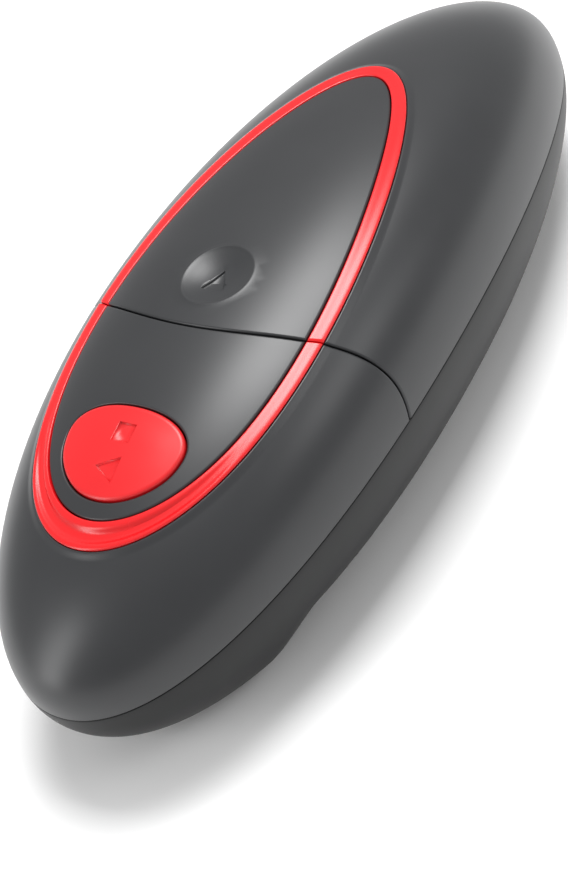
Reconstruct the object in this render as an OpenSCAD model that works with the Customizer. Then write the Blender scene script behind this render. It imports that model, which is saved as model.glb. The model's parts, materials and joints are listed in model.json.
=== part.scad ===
// Hand-held electric can opener: an oval two-part case that stands on a can's rim.
// +X points to the battery end, +Z up. The origin is the centre of the case, on the
// plane that the toe and the rear skid rest on.

/* [Case] */
// Overall length of the case
body_length = 200; // [196:1:240]
// Width of the case at mid length
body_width = 76; // [74:1:92]
// Height of the side seam above the resting plane, at mid length
seam_height = 30; // [29:0.5:36]
// Height of the crown above the seam
crown_height = 26.7; // [26:0.1:33]
// How far the seam drops at each end of the case
end_droop = 8.5; // [7:0.1:10]
// How much wider the button end is than the battery end, as a share
front_fullness = 0.105; // [0.08:0.005:0.12]
// Wall thickness of the mouldings
wall = 2.4; // [1.8:0.1:2.6]
// Height of the rear underside above the resting plane
underside_lift = 10; // [9:0.1:10.5]
// Distance from the button end to the foot of the toe's ramp
toe_length = 36; // [34:0.5:37]
// Length of the toe's ramp
ramp_length = 8; // [6:0.5:9]
// Distance from the button end to the split between the two covers, at the crown
split_setback = 70; // [68:0.5:72]
// Gap between neighbouring mouldings
panel_gap = 0.3; // [0.2:0.05:0.5]

/* [Trim ring] */
// Distance from the button end to the ring's outer edge
ring_front_margin = 22.3; // [21:0.1:26]
// Distance from the battery end to the ring's outer edge
ring_rear_margin = 51.5; // [48:0.5:60]
// Half width of the ring's outer edge
ring_half_width = 26.6; // [25:0.1:28]
// Width of the band at the button end
band_front = 5.4; // [4:0.1:6]
// Width of the band at the battery end
band_rear = 3.5; // [3:0.1:5]
// Width of the band at the sides
band_side = 3.6; // [3:0.1:5]
// How far the outer lip stands above the case
ring_proud = 0.9; // [0.5:0.1:1.2]
// Depth of the ring's seat below the surface
ring_seat = 1.2; // [0.8:0.1:1.4]

/* [Button] */
// Distance from the button end to the middle of the button
button_setback = 41.1; // [40:0.1:43]
// Half length of the button
button_half_length = 9.5; // [8:0.1:10]
// Half width of the button
button_half_width = 13.2; // [11:0.1:13.5]
// Travel of the button
button_travel = 1.0; // [0.6:0.1:1.2]
// Thickness of the button's cap
button_cap = 2; // [1.6:0.1:2.4]

/* [Thumb dimple] */
// Distance from the split to the middle of the dimple
dimple_setback = 12.6; // [10:0.1:15]
// Radius of the dimple's rim
dimple_radius = 7.4; // [6:0.1:8]
// Depth of the dimple
dimple_depth = 1.5; // [1:0.1:1.6]

/* [Power] */
// Diameter of an AA cell
cell_diameter = 14.2; // [14:0.1:14.5]
// Length of an AA cell with its nub
cell_length = 50.5; // [50:0.1:50.5]
// Distance from the battery end to the end of the battery tray
tray_margin = 35; // [34:0.5:60]
// Diameter of the motor
motor_diameter = 22.4; // [20:0.1:22.6]
// Length of the motor's can with its end cap
motor_length = 26; // [22:0.5:26.5]
// Distance from the button end to the motor's axis
motor_setback = 23.5; // [23:0.1:24]

/* [Gear train] */
// Teeth on the motor pinion and on each gear's own pinion
pinion_teeth = 10; // [10:1:10]
// Teeth on the first and second gears
fast_teeth = 44; // [44:1:46]
// Teeth on the third gear
slow_teeth = 40; // [38:1:40]
// Teeth on the output gear
output_teeth = 32; // [30:1:32]
// Tooth module of the first two stages
fast_module = 0.55; // [0.5:0.01:0.56]
// Tooth module of the third stage
slow_module = 0.6; // [0.58:0.01:0.62]
// Tooth module of the output stage
output_module = 0.8; // [0.78:0.01:0.82]
// Face width of a gear
gear_width = 2.5; // [2:0.1:2.8]
// Radius of the gears' steel axles
axle_radius = 1; // [0.9:0.05:1.1]

/* [Cutting head] */
// Distance from the button end to the drive wheel's axis
drive_setback = 68; // [67.5:0.1:69]
// Radius of the drive wheel over its teeth
drive_wheel_radius = 6; // [5:0.1:6.5]
// Radius of the drive shaft
drive_shaft_radius = 2.5; // [2:0.1:3]
// Radius of the cutting wheel
cutter_radius = 8; // [7:0.1:8.4]
// How far the cutting wheel's axis is from the turret's axis
cutter_offset = 3.4; // [3:0.1:3.6]
// Gap in plan between cutting wheel and drive wheel when closed
cutting_gap = 0.3; // [0.2:0.05:1]
// Radius of the turret's plate
turret_radius = 11.5; // [11:0.1:11.8]
// Swing of the turret between open and closed, in degrees
turret_swing = 150; // [120:5:160]

/* [Fits] */
// Radial clearance of a running fit
running = 0.06; // [0.03:0.01:0.1]
// Clearance of loose and sliding pieces
loose = 0.3; // [0.2:0.05:0.4]

/* [Hidden] */

$fn = 48;
around = 64;              // points around the case outline
up = 12;                  // rings from the seam to the crown or keel
outline_power = 2.06;     // superellipse power of the plan
crown_power = 2.46;       // superellipse power of the section above the seam
keel_power = 1.9;         // superellipse power of the section below the seam
rear_keel = 39.2;         // depth of the untrimmed section behind the ramp
toe_keel = 45;            // depth of the untrimmed section at the toe
half_length = body_length / 2;
half_width = body_width / 2;
front = -half_length;
rear = half_length;
// a longer case carries its mechanism further from the thin tip
nominal_half_length = 100;
head_share = 0.3;
head = front + head_share * (half_length - nominal_half_length);
ramp_front = head + toe_length;
ramp_rear = ramp_front + ramp_length;
floor_top = underside_lift + wall;

// the split between front cover and battery cover bows back and leans
split_x = head + split_setback;
split_bow = 12.5;
split_lean = 0.2;

// ring outlines
ring_front = head + ring_front_margin;
ring_rear = rear - ring_rear_margin;
ring_x = (ring_front + ring_rear) / 2;
ring_half_length = (ring_rear - ring_front) / 2;
ring_taper = 0.183;
inner_x = (ring_front + band_front + ring_rear - band_rear) / 2;
inner_half_length = ring_half_length - (band_front + band_rear) / 2;
inner_half_width = ring_half_width - band_side;
inner_taper = 0.25;
ring_points = 96;

// button
button_x = head + button_setback;
button_taper = 0.25;
button_power = 2.2;
button_raise = 0.35;

// stack heights of the gearbox
deck_z = 19;
plate_t = 1.5;
level_4 = deck_z + plate_t + 1.1;
level_3 = level_4 + 4 + 1.3;
level_2 = level_3 + 3 + 1;
level_1 = level_2 + gear_width + 1.8;
top_plate_z = level_1 + gear_width + 1.1;
board_z = top_plate_z + plate_t + 1;
board_t = 1.6;
board_top = board_z + board_t;

// motor and gear positions
motor_top = level_1 - 2.2;
motor_z = motor_top - motor_length;
motor_at = [head + motor_setback, 0];
drive_at = [head + drive_setback, 0];
fast_pitch = fast_module * (pinion_teeth + fast_teeth) / 2;
slow_pitch = slow_module * (pinion_teeth + slow_teeth) / 2;
output_pitch = output_module * (pinion_teeth + output_teeth) / 2;
gear_1_at = motor_at + fast_pitch * [1, 0];
gear_2_bearing = -15;
gear_2_at = gear_1_at + fast_pitch * [cos(gear_2_bearing), sin(gear_2_bearing)];
gear_3_at = meet(gear_2_at, slow_pitch, drive_at, output_pitch);
gear_sites = [gear_1_at, gear_2_at, gear_3_at];
backlash = 0.14;

// tooth phases, each gear's gap meeting its driver's tooth
phase_motor = 0;
phase_1 = mesh_phase(motor_at, pinion_teeth, phase_motor, gear_1_at, fast_teeth);
phase_2 = mesh_phase(gear_1_at, pinion_teeth, phase_1, gear_2_at, fast_teeth);
phase_3 = mesh_phase(gear_2_at, pinion_teeth, phase_2, gear_3_at, slow_teeth);
phase_out = mesh_phase(gear_3_at, pinion_teeth, phase_3, drive_at, output_teeth);

// gearbox pillars, two before and two behind the gears
pillar_sites = [for (side = [-1, 1]) each [
    [head + 44, side * 19], [head + 82, side * 17.5]]];
pillar_radius = 2.6;
screw_radius = 1.2;
bracket_sites = [for (side = [-1, 1]) [motor_at[0], side * 17]];
case_screw_sites = [for (side = [-1, 1]) each [
    [head + 31, side * 15], [head + 48, side * 25.5]]];
boss_radius = 3;

// cutting head
cutter_closed_x = drive_at[0] - drive_wheel_radius - cutting_gap - cutter_radius;
turret_at = [cutter_closed_x - cutter_offset, 0];
cutter_at = turret_at + cutter_offset * [cos(turret_swing), sin(turret_swing)];
hub_radius = 4.6;
turret_plate_z = underside_lift + 0.2;
turret_plate_t = 2.3;
turret_pocket = turret_radius + loose + 0.3;
pocket_top = turret_plate_z + turret_plate_t + 0.2;
hub_top = 17.6;
cutter_z = 6.2;
cutter_t = 0.8;
cutter_bore = 2;
drive_wheel_z = 5.4;
drive_wheel_t = 4;
bush_wall = 1.5;
drive_boss = drive_shaft_radius + running + bush_wall + 2;

// magnet
magnet_at = [drive_at[0] + 18, 0];
magnet_radius = 6;
magnet_z = 6.6;

// battery tray
tray_wall = 1.6;
tray_length = cell_length + 6 + 2 * tray_wall;
tray_rear = rear - tray_margin;
tray_front = tray_rear - tray_length;
cell_pitch = cell_diameter + 0.6;
tray_inner = 2 * cell_pitch + 0.4;
tray_floor = floor_top + 0.4;
cell_low = tray_floor + 1.4 + cell_diameter / 2 + 0.1;
cell_x = tray_rear - tray_wall - 1 - cell_length;
tray_top = cell_low + cell_pitch + 1;
tray_screw_sites = [for (side = [-1, 1]) [tray_front + 8, side * (tray_inner / 2 + tray_wall + 3.4)]];
cell_places = [[0, 0, 1], [1, 0, 0], [0, 1, 0], [1, 1, 1]];

// skid across the rear underside, with a pad near each end
skid_x = rear - 34;
skid_half_width = 15;
skid_bottom = 1.2;
foot_sites = [for (side = [-1, 1]) [skid_x, side * 10.5]];
foot_radius = 3.5;

// small pieces
guide_sites = [for (side = [-1, 1]) [drive_at[0] + 1.5, side * 14]];
plate_length = 34;
plate_width = 22;
plate_x = rear - 84;
dimple_x = split_x + dimple_setback;
board_screw_sites = [for (side = [-1, 1]) [head + 54, side * 9]];
switch_height = 2.6;
button_floor = board_top + switch_height + button_travel + 0.1;
button_skirt = board_top + button_travel + 0.6;
tab_low = board_top + button_travel + 0.4;

// ---- shape functions ----

function spow(v, e) = sign(v) * pow(abs(v), e);
function seam_z(x) = seam_height - end_droop * pow(x / half_length, 2);
function widen(x) = 1 - front_fullness * x / half_length;
function smooth(v) = let (c = min(1, max(0, v))) c * c * (3 - 2 * c);
function keel(x) = rear_keel + (toe_keel - rear_keel) * smooth((ramp_rear - x) / ramp_length / 1.5);

// a point of the case outline, inset from the outside, scaled towards the middle
function plan(t, inset, share) =
    let (x = share * (half_length - inset) * spow(cos(t), 2 / outline_power))
    [x, share * (half_width - inset) * spow(sin(t), 2 / outline_power) * widen(x)];

// height of the outer surface above the seam side of the case
function crown_z(x, y) =
    let (
        u = pow(abs(x / half_length), outline_power),
        v = pow(abs(y / widen(x) / half_width), outline_power),
        share = min(1, pow(u + v, 1 / outline_power))
    )
    seam_z(x) + crown_height * pow(1 - pow(share, crown_power), 1 / crown_power);

// a ring of points on the dome or the bowl at elevation s
function dome_ring(s, inset, drop) = [for (i = [0:around - 1])
    let (q = plan(360 * i / around, inset, pow(cos(s), 2 / crown_power)))
    [q[0], q[1], seam_z(q[0]) - drop + (crown_height - inset) * pow(sin(s), 2 / crown_power)]];
function bowl_ring(s, inset, rise) = [for (i = [0:around - 1])
    let (q = plan(360 * i / around, inset, pow(cos(s), 2 / keel_power)))
    [q[0], q[1], seam_z(q[0]) + rise - (keel(q[0]) - inset) * pow(sin(s), 2 / keel_power)]];

// an oval with one end fuller than the other
function oval_point(t, x, a, b, taper) = [x + a * cos(t), b * sin(t) * (1 - taper * cos(t))];

// where circles about p and q meet, on the -Y side
function meet(p, rp, q, rq) =
    let (
        d = norm(q - p),
        u = (q - p) / d,
        a = (rp * rp - rq * rq + d * d) / (2 * d),
        h = sqrt(rp * rp - a * a)
    )
    p + a * u + h * [u[1], -u[0]];

// angle of a tooth on the driven gear so that it meshes with the driver
function mesh_phase(p, teeth_p, phase_p, q, teeth_q) =
    let (
        line = atan2(q[1] - p[1], q[0] - p[0]),
        part = (line - phase_p) / (360 / teeth_p)
    )
    line + 180 - (360 / teeth_q) * (0.5 - part);

// ---- shape modules ----

// closes rings of symmetric outline points: the first by strips across, the last by an apex
module ring_stack(rings, apex, outward) {
    n = around;
    k = len(rings);
    points = [for (r = rings) each r, apex];
    strips = [
        [0, 1, n - 1], [n / 2 - 1, n / 2, n / 2 + 1],
        for (i = [1:n / 2 - 2]) each [[i, i + 1, n - i], [i + 1, n - i - 1, n - i]]];
    sides = [for (r = [0:k - 2], i = [0:n - 1])
        let (a = r * n + i, b = r * n + (i + 1) % n)
        each [[a, a + n, b], [b, a + n, b + n]]];
    cap = [for (i = [0:n - 1]) [(k - 1) * n + i, k * n, (k - 1) * n + (i + 1) % n]];
    faces = [each strips, each sides, each cap];
    polyhedron(points, outward ? faces : [for (f = faces) [f[2], f[1], f[0]]], convexity = 4);
}

module dome(inset, drop) {
    levels = [for (i = [0:up - 1]) dome_ring(90 * i / up, inset, 0)];
    start = drop > 0 ? [dome_ring(0, inset, drop)] : [];
    ring_stack(concat(start, levels), [0, 0, seam_height + crown_height - inset], true);
}

module bowl(inset, rise) {
    levels = [for (i = [0:up - 1]) bowl_ring(90 * i / up, inset, 0)];
    start = rise > 0 ? [bowl_ring(0, inset, rise)] : [];
    ring_stack(concat(start, levels), [0, 0, seam_height - keel(0) + inset], false);
}

// everything above the underside: flat toe, ramp, raised rear underside
module above_underside(raise, shift) {
    steps = 8;
    ramp = [for (i = [0:steps])
        [ramp_front + shift + ramp_length * i / steps, raise + underside_lift * smooth(i / steps)]];
    rotate([90, 0, 0])
        linear_extrude(2 * body_width, center = true)
            polygon([[front - 20, raise], each ramp, [rear + 20, raise + underside_lift],
                [rear + 20, 100], [front - 20, 100]]);
}

// the space in front of (-1) or behind (+1) the leaning, bowed split, less half the gap
module split_side(side) {
    strips = 20;
    reach = body_width;
    edge = [for (i = [0:strips])
        let (y = reach * (2 * i / strips - 1))
        [side * panel_gap / 2 + split_bow * pow(min(abs(y), half_width) / half_width, 2), y]];
    translate([split_x, 0, seam_height + crown_height]) rotate([0, atan(split_lean), 0])
        linear_extrude(4 * body_width, center = true)
            polygon([each edge, [side * 2 * body_length, reach], [side * 2 * body_length, -reach]]);
}

// the trim band: inner edge flush, outer lip proud, seated below the surface
module ring_band(side_gap, extra_top) {
    shares = [0, 0.3, 0.65, 1];
    heights = [0.15, 0.3, ring_proud * 0.8, ring_proud];
    loop_of = function (t)
        let (
            o = oval_point(t, ring_x, ring_half_length + side_gap, ring_half_width + side_gap, ring_taper),
            i = oval_point(t, inner_x, inner_half_length - side_gap, inner_half_width - side_gap,
                inner_taper),
            at = function (s, h) let (q = i + (o - i) * s) [q[0], q[1], crown_z(q[0], q[1]) + h]
        )
        [for (k = [0:3]) at(shares[k], heights[k] + extra_top),
            for (k = [3:-1:0]) at(shares[k], -ring_seat)];
    k = 8;
    points = [for (j = [0:ring_points - 1]) each loop_of(360 * j / ring_points)];
    faces = [for (j = [0:ring_points - 1], m = [0:k - 1])
        let (
            a = j * k + m,
            b = j * k + (m + 1) % k,
            c = ((j + 1) % ring_points) * k + m,
            d = ((j + 1) % ring_points) * k + (m + 1) % k
        )
        each [[a, c, b], [b, c, d]]];
    polyhedron(points, faces, convexity = 6);
}

module button_outline(grow) {
    points = 48;
    polygon([for (i = [0:points - 1])
        let (t = 360 * i / points)
        [button_x + (button_half_length + grow) * spow(cos(t), 2 / button_power),
            (button_half_width + grow) * spow(sin(t), 2 / button_power) * (1 + button_taper * cos(t))]]);
}

module at_sites(sites, z = 0) {
    for (q = sites) translate([q[0], q[1], z]) children();
}

module tube(outer, inner, height) {
    difference() {
        cylinder(r = outer, h = height);
        translate([0, 0, -1]) cylinder(r = inner, h = height + 2);
    }
}

module rounded_plate(x0, x1, y1, radius, thickness) {
    linear_extrude(thickness) union() {
        translate([x0, -y1 + radius]) square([x1 - x0, 2 * (y1 - radius)]);
        translate([x0 + radius, -y1]) square([x1 - x0 - 2 * radius, 2 * y1]);
        for (x = [x0 + radius, x1 - radius], y = [-1, 1])
            translate([x, y * (y1 - radius)]) circle(radius);
    }
}

// pan-head screw pointing down from z = 0, head above
module screw(radius, length, head_radius, head_height) {
    difference() {
        union() {
            translate([0, 0, -length]) cylinder(r = radius, h = length + 0.1);
            cylinder(r = head_radius, h = head_height);
        }
        for (a = [0, 90]) rotate([0, 0, a])
            translate([-head_radius * 0.65, -0.3, head_height * 0.45])
                cube([head_radius * 1.3, 0.6, head_height]);
    }
}

// spur gear with straight-sided approximations of involute flanks
module spur(teeth, module_size, height, phase, slack) {
    pitch = teeth * module_size / 2;
    base = pitch * cos(20);
    root = pitch - 1.25 * module_size;
    tip = pitch + 0.9 * module_size;
    at_pitch = 90 / teeth - slack / 2 / pitch * 57.2958;
    involute = function (r) r <= base ? 0 : let (a = acos(base / r)) tan(a) * 57.2958 - a;
    half_angle = function (r) at_pitch + involute(pitch) - involute(max(r, base));
    radii = [root, max(base, root + 0.1 * module_size), pitch, tip];
    linear_extrude(height) polygon([for (i = [0:teeth - 1])
        let (mid = phase + 360 * i / teeth)
        each [
            for (r = radii) let (a = mid - half_angle(r)) r * [cos(a), sin(a)],
            for (k = [3:-1:0]) let (r = radii[k], a = mid + half_angle(r)) r * [cos(a), sin(a)]]]);
}

// gear below or above its own pinion, bored for its axle
module compound_gear(teeth, gear_module, gear_z, gear_h, pinion_module, pinion_z, pinion_h, phase) {
    difference() {
        union() {
            translate([0, 0, gear_z]) spur(teeth, gear_module, gear_h, phase, backlash);
            translate([0, 0, pinion_z]) spur(pinion_teeth, pinion_module, pinion_h, phase, backlash);
            translate([0, 0, deck_z + plate_t + 0.2])
                cylinder(r = 2, h = pinion_z - deck_z - plate_t - 0.1);
            translate([0, 0, gear_z + gear_h - 0.1])
                cylinder(r = 1.7, h = top_plate_z - 0.2 - gear_z - gear_h + 0.1);
        }
        cylinder(r = axle_radius + running, h = 100);
    }
}

// coil spring as one swept tube, radius a at the foot and b at the head
module coil(a, b, wire, height, turns) {
    sides = 6;
    steps = 12 * turns;
    points = [for (j = [0:steps])
        let (s = j / steps, t = 30 * j, r = a + (b - a) * s, z = wire + (height - 2 * wire) * s)
        each [for (k = [0:sides - 1])
            let (w = 360 * k / sides, q = r + wire * cos(w))
            [q * cos(t), q * sin(t), z + wire * sin(w)]]];
    faces = [
        [for (k = [0:sides - 1]) k],
        [for (k = [sides - 1:-1:0]) steps * sides + k],
        for (j = [0:steps - 1], k = [0:sides - 1])
            let (p = j * sides + k, q = j * sides + (k + 1) % sides)
            each [[p, p + sides, q], [q, p + sides, q + sides]]];
    polyhedron(points, faces, convexity = 10);
}

// ---- case ----

module lower_case() {
    color("#3a3b3d") difference() {
        union() {
            intersection() {
                bowl(0, 0);
                above_underside(0, 0);
            }
            skid();
        }
        difference() {
            intersection() {
                bowl(wall, 6);
                above_underside(wall, -1.2);
            }
            lower_case_supports();
        }
        lower_case_holes();
    }
}

// a low bar with sloping sides that carries the rear pads
module skid() {
    rotate([90, 0, 0]) linear_extrude(2 * skid_half_width, center = true) polygon([
        [skid_x - 11, underside_lift + 0.5], [skid_x - 5.5, skid_bottom],
        [skid_x + 5.5, skid_bottom], [skid_x + 11, underside_lift + 0.5]]);
}

module lower_case_supports() {
    // pocket wall of the turret, its bearing and the drive shaft's boss
    translate([turret_at[0], turret_at[1], -1]) cylinder(r = turret_pocket + 1.8, h = pocket_top + 3);
    translate([turret_at[0], turret_at[1], 0]) cylinder(r = hub_radius + 2, h = hub_top - 1.2);
    translate([drive_at[0], 0, 0]) cylinder(r = drive_boss, h = deck_z - 0.5);
    translate([magnet_at[0], 0, 0]) cylinder(r = magnet_radius + 3, h = floor_top + 0.6);
    // motor cradle
    translate([motor_at[0], 0, 0]) difference() {
        cylinder(r = motor_diameter / 2 + 1.6, h = 18);
        translate([0, 0, motor_z]) cylinder(r = motor_diameter / 2 + 0.1, h = 20);
    }
    at_sites(bracket_sites) cylinder(r = pillar_radius, h = motor_top);
    at_sites(pillar_sites) cylinder(r = pillar_radius + 0.2, h = deck_z);
    at_sites(case_screw_sites) cylinder(r = boss_radius, h = seam_height + 10);
    at_sites(tray_screw_sites) cylinder(r = pillar_radius, h = tray_floor + 4);
    // ribs that carry the battery tray
    for (x = [tray_front + 4, tray_rear - 7])
        translate([x, -tray_inner / 2, 0]) cube([3, tray_inner, tray_floor]);
}

module lower_case_holes() {
    translate([turret_at[0], 0, -1]) cylinder(r = turret_pocket, h = pocket_top + 1);
    translate([turret_at[0], 0, 0]) cylinder(r = hub_radius + running, h = 30);
    translate([drive_at[0], 0, 0]) cylinder(r = drive_boss - 2, h = 30);
    translate([magnet_at[0], 0, 0]) cylinder(r = magnet_radius + 1.05, h = floor_top - 0.6);
    at_sites(pillar_sites, deck_z - 6) cylinder(r = screw_radius, h = 7);
    at_sites(bracket_sites, motor_top - 8) cylinder(r = screw_radius, h = 9);
    at_sites(tray_screw_sites, tray_floor - 0.4) cylinder(r = screw_radius, h = 9);
    at_sites(case_screw_sites, -1) cylinder(r = 1.5, h = 60);
    at_sites(case_screw_sites, -1) cylinder(r = 2.7, h = 17);
    at_sites(foot_sites, -1) cylinder(r = foot_radius + 0.05, h = skid_bottom + 2);
    at_sites(guide_sites, 0) cylinder(r = 1.45, h = floor_top + 0.2);
    translate([plate_x, -plate_width / 2, underside_lift - 1]) cube([plate_length, plate_width, 1.4]);
}

module front_cover() {
    color("#4b4d4f") difference() {
        intersection() {
            dome(0, 0);
            split_side(-1);
        }
        difference() {
            dome(wall, 4);
            at_sites(case_screw_sites) cylinder(r = boss_radius, h = 80);
        }
        ring_band(0.08, 4);
        linear_extrude(100) button_outline(panel_gap);
        at_sites(case_screw_sites, 0) cylinder(r = screw_radius, h = seam_height + 3);
    }
}

module battery_cover() {
    top = crown_z(dimple_x, 0);
    sphere_radius = (dimple_radius * dimple_radius + dimple_depth * dimple_depth) / (2 * dimple_depth);
    color("#4b4d4f") difference() {
        union() {
            difference() {
                intersection() {
                    dome(0, 0);
                    split_side(1);
                }
                dome(wall, 4);
                ring_band(0.08, 4);
            }
            cover_tongue();
        }
        translate([dimple_x, 0, top + sphere_radius - dimple_depth]) sphere(sphere_radius, $fn = 96);
        translate([dimple_x - 0.6, 0, top - dimple_depth - 0.4])
            linear_extrude(2) polygon([[-2.6, -2.7], [-2.6, 2.7], [3, 0]]);
    }
}

// the spring tongue that snaps under the front cover
module cover_tongue() {
    z = crown_z(split_x - 7, 8) - wall - loose - 1.4;
    translate([split_x - 7, -8, z]) cube([22, 16, 1.4]);
    translate([split_x + 3, -8, z]) cube([12, 16, crown_z(split_x + 9, 8) - z - 0.4]);
}

module trim_ring_front() {
    color("#ff3b3d") intersection() {
        ring_band(0, 0);
        split_side(-1);
    }
}

module trim_ring_rear() {
    color("#ff3b3d") intersection() {
        ring_band(0, 0);
        split_side(1);
    }
}

// ---- button and board ----

module start_button() {
    color("#ff3b3d") union() {
        intersection() {
            translate([0, 0, button_raise]) dome(0, 0);
            difference() {
                translate([0, 0, button_skirt]) linear_extrude(30) button_outline(0);
                translate([0, 0, button_raise - button_cap]) dome(0, 0);
            }
        }
        // tabs that keep the button under the cover
        for (side = [-1, 1])
            translate([button_x - 2.5, side * (button_half_width - 0.4) - 1.4, tab_low])
                cube([5, 2.8, 1]);
        translate([button_x, 0, button_floor])
            cylinder(r = 2, h = crown_z(button_x, 0) + button_raise - button_cap / 2 - button_floor);
    }
}

module button_spring() {
    height = crown_z(button_x, 0) + button_raise - button_cap - board_top - 1;
    color("silver") translate([button_x, 0, board_top]) coil(3.4, 3.4, 0.3, height, 4);
}

module circuit_board() {
    color("#2f6b3a") difference() {
        translate([0, 0, board_z]) rounded_plate(head + 34.5, head + 58, 12, 1.5, board_t);
        at_sites(board_screw_sites, board_z - 1) cylinder(r = 1.3, h = 4);
    }
}

module tact_switch() {
    color("#222222") translate([button_x, 0, board_top]) union() {
        translate([-2, -2, 0]) cube([4, 4, 1.9]);
        cylinder(r = 1.1, h = switch_height);
    }
}

module board_screws() {
    color("silver") at_sites(board_screw_sites, board_top) screw(1, 3.6, 2, 1);
}

// ---- battery tray ----

module battery_tray() {
    wide = tray_inner / 2 + tray_wall;
    color("#2b2c2e") difference() {
        union() {
            translate([tray_front, -wide, tray_floor])
                cube([tray_length, 2 * wide, tray_top - tray_floor]);
            at_sites(tray_screw_sites, tray_floor + 4) cylinder(r = 3.2, h = 2);
            for (q = tray_screw_sites)
                translate([q[0] - 3.2, min(q[1], sign(q[1]) * wide), tray_floor + 4])
                    cube([6.4, abs(q[1]) - wide + 0.1, 2]);
        }
        translate([tray_front + tray_wall, -tray_inner / 2, tray_floor + 1.4])
            cube([tray_length - 2 * tray_wall, tray_inner, 60]);
        at_sites(tray_screw_sites, tray_floor) cylinder(r = 1.3, h = 20);
        // finger notch in each side wall
        for (side = [-1, 1])
            translate([(tray_front + tray_rear) / 2, side * wide, tray_top + 2]) rotate([90, 0, 0])
                cylinder(r = 9, h = 6, center = true);
    }
}

module tray_screws() {
    color("silver") at_sites(tray_screw_sites, tray_floor + 6) screw(1.1, 6, 2.1, 1.2);
}

// one cell: its nub points to -X when flip is 1
module cell(column, row, flip) {
    body = cell_length - 1.2;
    color("#c9a227") translate([cell_x + cell_length / 2, (column - 0.5) * cell_pitch,
            cell_low + row * cell_pitch])
        rotate([0, flip == 1 ? -90 : 90, 0]) translate([0, 0, -cell_length / 2]) union() {
            cylinder(r = cell_diameter / 2, h = body);
            translate([0, 0, body - 0.1]) cylinder(r = 2.7, h = 1.3);
        }
}

module cell_1() cell(0, 0, 1);
module cell_2() cell(1, 0, 0);
module cell_3() cell(0, 1, 0);
module cell_4() cell(1, 1, 1);

module contact_springs() {
    color("silver") for (c = cell_places)
        translate([c[2] == 1 ? cell_x + cell_length : cell_x, (c[0] - 0.5) * cell_pitch,
                cell_low + c[1] * cell_pitch])
            rotate([0, c[2] == 1 ? 90 : -90, 0]) fitted_spring(c[2]);
}

// the rear springs are squeezed into a short gap, the front ones into a long one
module fitted_spring(at_rear) {
    gap = at_rear == 1 ? tray_rear - tray_wall - cell_x - cell_length : cell_x - tray_front - tray_wall;
    coil(2.6, 5, 0.3, gap - 0.4, at_rear == 1 ? 1 : 3);
}

module contact_plates() {
    color("silver") for (x = [tray_front + tray_wall, tray_rear - tray_wall - 0.4])
        for (row = [0, 1])
            translate([x, -tray_inner / 2 + 1, cell_low + row * cell_pitch - 5.5])
                cube([0.4, tray_inner - 2, 11]);
}

// ---- motor ----

module motor_can() {
    color("#b9bcc0") translate([motor_at[0], 0, motor_z]) difference() {
        union() {
            translate([0, 0, 3]) cylinder(r = motor_diameter / 2, h = motor_length - 3);
            translate([0, 0, motor_length - 0.1]) cylinder(r = 3, h = 1.3);
        }
        translate([0, 0, 2]) cylinder(r = motor_diameter / 2 - 1, h = motor_length - 3);
        cylinder(r = 1.06, h = 60);
        for (side = [-1, 1]) translate([0, side * 8, 5]) cylinder(r = 1.1, h = 60);
    }
}

module motor_end_cap() {
    color("#efece2") translate([motor_at[0], 0, motor_z]) difference() {
        cylinder(r = motor_diameter / 2, h = 3);
        translate([0, 0, 0.8]) cylinder(r = 1.06, h = 60);
    }
}

// shaft with the wound rotor that it carries
module motor_shaft() {
    color("#9a9da1") translate([motor_at[0], 0, 0]) union() {
        translate([0, 0, motor_z + 1]) cylinder(r = 1, h = level_1 + gear_width + 0.8 - motor_z - 1);
        translate([0, 0, motor_z + 6]) cylinder(r = 7, h = motor_length - 11);
    }
}

module motor_pinion() {
    color("#c8a24a") translate([motor_at[0], 0, level_1 - 0.4]) difference() {
        spur(pinion_teeth, fast_module, gear_width + 0.8, phase_motor, backlash);
        translate([0, 0, -1]) cylinder(r = 1, h = 9);
    }
}

module motor_bracket() {
    color("#a7aaad") difference() {
        translate([motor_at[0], 0, motor_top]) linear_extrude(1.2) union() {
            square([6.8, 34], center = true);
            for (side = [-1, 1]) translate([0, side * 17]) circle(3.4);
            circle(9);
        }
        translate([motor_at[0], 0, motor_top - 1]) cylinder(r = 3.2, h = 4);
        at_sites([for (side = [-1, 1]) [motor_at[0], side * 8]], motor_top - 1) cylinder(r = 1.3, h = 4);
        at_sites(bracket_sites, motor_top - 1) cylinder(r = 1.3, h = 4);
    }
}

module motor_screws() {
    color("silver") union() {
        for (side = [-1, 1]) translate([motor_at[0], side * 8, motor_top + 1.2]) screw(1.05, 3, 1.9, 0.9);
        at_sites(bracket_sites, motor_top + 1.2) screw(1.15, 7, 2.1, 1.2);
    }
}

// ---- gearbox ----

module gear_deck() {
    color("#d8d4c8") difference() {
        translate([0, 0, deck_z]) rounded_plate(head + 34, head + 86, 22, 4, plate_t);
        translate([motor_at[0], 0, 0]) cylinder(r = motor_diameter / 2 + 1.9, h = 60);
        at_sites(gear_sites, deck_z - 1) cylinder(r = axle_radius, h = 5);
        translate([drive_at[0], 0, deck_z - 1]) cylinder(r = drive_shaft_radius + running, h = 5);
        at_sites(pillar_sites, deck_z - 1) cylinder(r = 1.4, h = 5);
        at_sites(case_screw_sites, deck_z - 1) cylinder(r = boss_radius + 0.5, h = 5);
    }
}

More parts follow.
